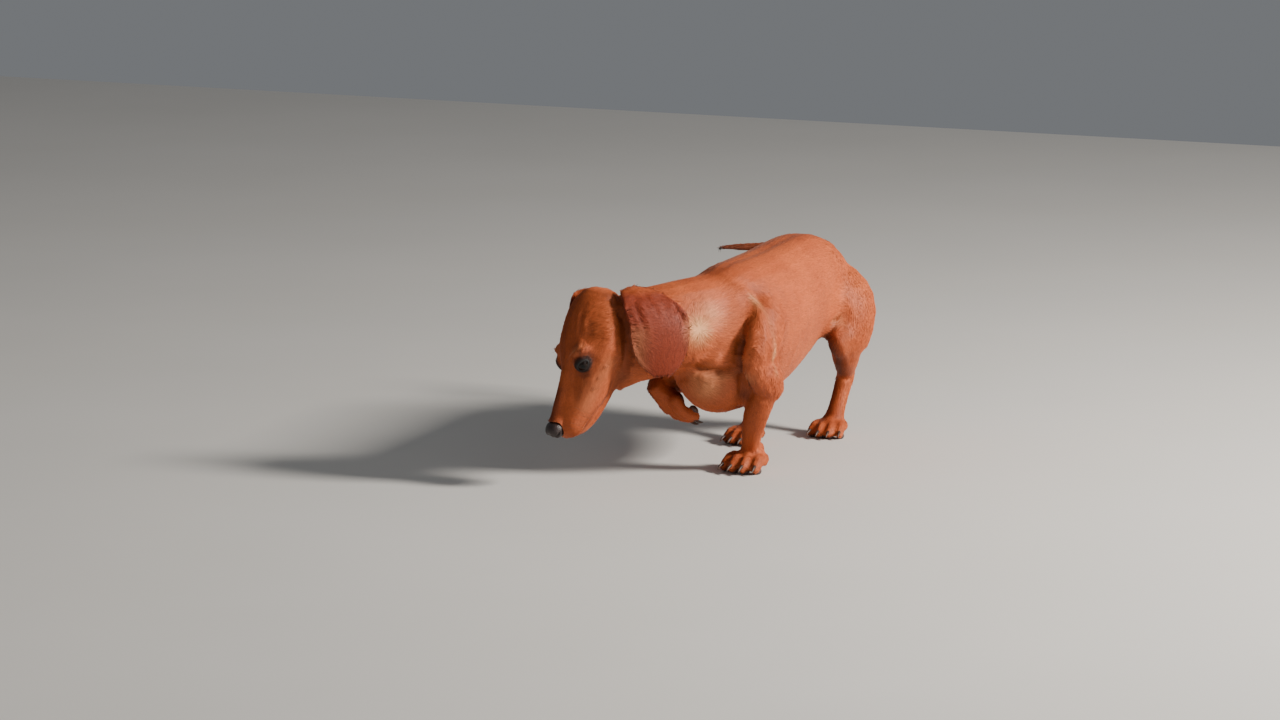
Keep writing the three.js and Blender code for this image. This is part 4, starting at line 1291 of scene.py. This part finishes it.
def whisker_roots(draw):
    """Roots, leans and lengths of the hairs of the lips, brows and cheek warts, in the head's frame."""
    rows = []
    for side, share in WHISKER_SIDES:
        for row in range(LIP_ROWS):
            for place in range(LIP_HAIRS):
                lean = (0.30 - 0.14 * place, side, -0.25 - 0.12 * row)
                long = 10 + 9 * draw.random() + 1.2 * (LIP_HAIRS - 1 - place)
                rows.append(((50 + 6 * place, side * 19, -4 - 4.2 * row), lean, long * share))
        for k in range(BROW_HAIRS):
            long = 12 + 4 * draw.random()
            rows.append(((2 - 6 * k, side * (20 + 2 * k), 22), (0.5, side * 0.6, 0.7), long * share))
        for x, y, z in WARTS:
            for lift in (0.1, -0.25):
                long = 11 + 6 * draw.random()
                rows.append(((x, side * y, z), (-0.5, side, lift), long * share))
    return (np.array(column, float) for column in zip(*rows))


def build_whiskers():
    """Hairs of three sides: at a share t of its length each runs through root + length (t lean + t^2 droop)
    and tapers evenly."""
    draw = np.random.default_rng(SEED)
    roots, leans, lengths = whisker_roots(draw)
    roots = settled(from_head(roots), skin_points, skin_normals)
    leans = unit(leans)
    leans = unit(leans + draw.normal(0, HAIR_SPREAD, leans.shape)) @ HEAD_AXES
    rows = 9
    t = np.linspace(0, 1, rows)
    run = t[None, :, None] * leans[:, None] + (t ** 2)[None, :, None] * HAIR_DROOP
    path = roots[:, None] + lengths[:, None, None] * run
    path[..., 2] = np.maximum(path[..., 2], HAIR_LOWEST)
    side_way = unit(np.cross(leans, [0, 0, 1.0]))
    up_way = np.cross(side_way, leans)
    a = np.linspace(0, 2 * math.pi, 3, endpoint=False)
    thick = HAIR_HALF * (1 - 0.8 * t)
    ring = np.cos(a)[None, :, None] * side_way[:, None] + np.sin(a)[None, :, None] * up_way[:, None]
    points = (path[:, :, None] + thick[None, :, None, None] * ring[:, None]).reshape(-1, 3)
    one = grid_faces(rows, 3)
    faces = (one[None] + (np.arange(len(roots)) * rows * 3)[:, None, None]).reshape(-1, 4)
    finish(make_mesh("whiskers", to_world(points), faces), whisker_finish)


build_whiskers()


# Coat

TUFTS = 200000
TUFTS_A_PIECE = 33000
HAIR_SHARE = 0.088  # a tuft's width to its length
HAIR_FAN = 0.16  # radians that a tuft turns from the lie, as a spread
FULL_HAIR = 7.5  # mm, the length at which a tuft lifts by its whole share
WAIST_AT, WAIST_LIFT = 0.42, 0.72  # shares of a tuft's length and of its lift
ROOT_SUNK = 0.35  # mm
LOWEST_HAIR = 0.1  # mm over the floor
TUFT_FACES = np.array([(0, 2, 1), (0, 3, 2), (0, 1, 3), (4, 1, 2), (4, 2, 3), (4, 3, 1)])
TUFT_POINTS = 5  # root, left, crown, right and tip
TUFT_PATCH = np.array([(0, 0), (-0.001, 0.0015), (0, 0.0015), (0.001, 0.0015), (0, 0.003)])


def scatter(count, weight, draw):
    """Places spread over the skin's triangles in proportion to their area times weight: their
    triangles, the corners of these, and the place's share of each corner."""
    tris = np.vstack([skin_quads[:, [0, 1, 2]], skin_quads[:, [0, 2, 3]]])
    first = 4 * np.arange(len(skin_quads))[:, None]
    corner = np.vstack([first + [0, 1, 2], first + [0, 2, 3]])
    a, b, c = (skin_points[tris[:, i]] for i in range(3))
    area = np.linalg.norm(np.cross(b - a, c - a), axis=1) * weight[tris].mean(1)
    total = np.cumsum(area)
    pick = np.searchsorted(total, (np.arange(count) + draw.random(count)) / count * total[-1])
    pick = np.minimum(pick, len(tris) - 1)
    u, v = draw.random((2, count))
    over = u + v > 1
    u, v = np.where(over, 1 - u, u), np.where(over, 1 - v, v)
    return tris[pick], corner[pick], np.stack([1 - u - v, u, v], 1)


def blended(values, tris, share):
    """The skin's values at places in its triangles, each corner's taken by the place's share of it."""
    return (values[tris] * (share if values.ndim == 1 else share[..., None])).sum(1)


def coat_room():
    """1 where hair grows on the skin and 0 at bare leather, round the nose and on the soles."""
    keep = 1 - np.clip(skin_marks_and_light["bare"] * 2, 0, 1)
    nose_gap = np.linalg.norm((to_head(skin_points) - NOSE_AT) / (NOSE_HALF + 1.2), axis=1)
    return keep * smooth_step((nose_gap - 1) / 0.15) * (skin_points[:, 2] > 0.6)


def skin_bend(tris, lie):
    """How fast the skin's normal turns towards the lie: the lie is split over two edges of the
    triangle, and the turns of the normal along these are added up by the same shares."""
    edge_1, edge_2 = (skin_points[tris[:, i]] - skin_points[tris[:, 0]] for i in (1, 2))
    turn_1, turn_2 = (skin_normals[tris[:, i]] - skin_normals[tris[:, 0]] for i in (1, 2))
    aa, bb, ab = (edge_1 ** 2).sum(1), (edge_2 ** 2).sum(1), (edge_1 * edge_2).sum(1)
    fa, fb = (edge_1 * lie).sum(1), (edge_2 * lie).sum(1)
    det = np.maximum(aa * bb - ab ** 2, 1e-9)
    p, q = (fa * bb - fb * ab) / det, (fb * aa - fa * ab) / det
    bend = ((p[:, None] * turn_1 + q[:, None] * turn_2) * lie).sum(1)
    return np.clip(bend, -0.05, 0.12)


def tuft_spindles(root, normal, lie, bend, length, draw):
    """Spindles of three sides: a sunk root, a waist raised off the skin and a tip, each at
    p + f s - n k s^2 / 2, with f the lie, n the normal and k the skin's bend along f."""
    count = len(root)
    across = np.cross(normal, lie)
    long = length * draw.uniform(0.75, 1.2, count)
    wide = long * HAIR_SHARE * draw.uniform(0.75, 1.2, count) * 0.5 + 0.05
    lift = COAT_DEPTH * draw.uniform(0.25, 1.0, count) * np.clip(long / FULL_HAIR, 0.45, 1.0)

    def along(s, height):
        """Places at a length s along each tuft and a height over the skin."""
        return root + lie * s[:, None] + normal * (height - 0.5 * bend * s ** 2)[:, None]

    waist = along(long * WAIST_AT, lift * WAIST_LIFT)
    tip = along(long, lift)
    start = along(-0.05 * long, np.full(count, -ROOT_SUNK))
    low = normal * (wide * 0.3)[:, None]
    left, right = waist + across * wide[:, None] - low, waist - across * wide[:, None] - low
    crown = waist + normal * (wide * 0.55)[:, None]
    points = np.stack([start, left, crown, right, tip], 1)
    points[..., 2] = np.maximum(points[..., 2], LOWEST_HAIR)
    shade = np.stack([normal, unit(normal + 0.45 * across), normal, unit(normal - 0.45 * across), normal], 1)
    return points, shade


def build_coat():
    """Tufts spread over the skin, laid along the coat and parted into pieces from nose to tail."""
    draw = np.random.default_rng(SEED)
    flow, length = coat_lie(skin_points, skin_normals)
    tris, corners, share = scatter(TUFTS, coat_room() / length ** 1.8, draw)
    root, normal = blended(skin_points, tris, share), unit(blended(skin_normals, tris, share))
    lie = blended(flow, tris, share)
    lie = lie + np.cross(normal, lie) * draw.normal(0, HAIR_FAN, TUFTS)[:, None]
    lie = unit(lie - normal * (lie * normal).sum(1, keepdims=True))
    long = blended(length, tris, share)
    points, shade = tuft_spindles(root, normal, lie, skin_bend(tris, lie), long, draw)
    tone = np.clip(draw.normal(0, 0.33, TUFTS), -1, 1)
    tones = np.stack([tone - 0.45, tone, tone, tone, tone + 0.3], 1)
    marks = {name: blended(values, tris, share) for name, values in skin_marks_and_light.items()}
    uv_root = (skin_uv[corners] * share[..., None]).sum(1)
    order = np.argsort(-root[:, 0], kind="stable")
    pieces = int(math.ceil(TUFTS / TUFTS_A_PIECE))
    for k, part in enumerate(np.array_split(order, pieces)):
        index = (TUFT_FACES[None] + TUFT_POINTS * np.arange(len(part))[:, None, None]).reshape(-1, 3)
        piece = make_mesh(f"coat_{k + 1}", to_world(points[part].reshape(-1, 3)), index)
        for name, values in marks.items():
            add_float(piece, name, np.repeat(values[part], TUFT_POINTS))
        add_float(piece, "tone", tones[part])
        uv = (uv_root[part][:, None] + TUFT_PATCH).reshape(-1, 2)
        layer = piece.data.uv_layers.new(name="OFBake")
        layer.data.foreach_set("uv", uv[index.ravel()].astype(np.float32).ravel())
        piece.data.normals_split_custom_set_from_vertices(shade[part].reshape(-1, 3))
        finish(piece, tuft_finish)


build_coat()


# Floor, light and camera

FLOOR_HALF, FLOOR_STEP = 3.0, 0.05  # metres
LIGHT_AIM = (0, 0, 0.12)
LIGHTS = [  # name, place and size in metres, power in watts and colour
    ("key", (-0.3, 2.55, 1.5), 0.5, 182, (1.0, 0.95, 0.89)),
    ("fill", (3.2, -0.6, 1.7), 2.4, 4, (0.93, 0.97, 1.0)),
    ("front", (2.2, 2.6, 1.2), 2.0, 14, (1.0, 0.98, 0.95)),
]
SKY, SKY_STRENGTH = (0.86, 0.9, 0.95, 1), 0.2
CAMERA_AZIMUTH, CAMERA_RISE = 115.0, 10.0
CAMERA_PLACE = (4575.9, 1979.2, 989.0)  # mm, in the animal's frame
LENS, SENSOR = 123.75, 36.0  # mm


def build_floor():
    """Pale plain floor in squares, level with the soles."""
    count = int(2 * FLOOR_HALF / FLOOR_STEP) + 1
    line = np.linspace(-FLOOR_HALF, FLOOR_HALF, count)
    x, y = np.meshgrid(line, line, indexing="ij")
    points = np.stack([x, y, 0 * x], -1).reshape(-1, 3)
    floor = make_mesh("floor", points, grid_faces(count, count, closed=False))
    material, shader = new_material("floor_finish", 0.8)
    n = Nodes(material)
    n.link(n.mix(n.noise(2.5), linear(206, 203, 197), linear(214, 211, 206)), shader.inputs["Base Color"])
    floor.data.materials.append(material)


def add_light(name, place, size, power, colour):
    """Square lamp aimed at the middle of the body."""
    light = bpy.data.lights.new(name, "AREA")
    light.size = size
    light.energy = power
    light.color = colour
    lamp = bpy.data.objects.new(name, light)
    bpy.context.scene.collection.objects.link(lamp)
    lamp.location = place
    lamp.rotation_euler = (Vector(LIGHT_AIM) - Vector(place)).to_track_quat("-Z", "Y").to_euler()


def build_world():
    """Even pale sky."""
    world = bpy.data.worlds.new("world")
    bpy.context.scene.world = world
    world.use_nodes = True
    sky = world.node_tree.nodes["Background"]
    sky.inputs["Color"].default_value = SKY
    sky.inputs["Strength"].default_value = SKY_STRENGTH


def build_camera():
    """Camera low on the animal's left, turned by its azimuth and tipped down by its rise."""
    camera = bpy.data.cameras.new("camera")
    camera.lens = LENS
    camera.sensor_width = SENSOR
    camera.sensor_fit = "HORIZONTAL"
    holder = bpy.data.objects.new("camera", camera)
    bpy.context.scene.collection.objects.link(holder)
    holder.location = to_world(CAMERA_PLACE)
    holder.rotation_euler = (math.radians(90 - CAMERA_RISE), 0, math.radians(CAMERA_AZIMUTH))
    bpy.context.scene.camera = holder


build_floor()
build_camera()
for light in LIGHTS:
    add_light(*light)
build_world()
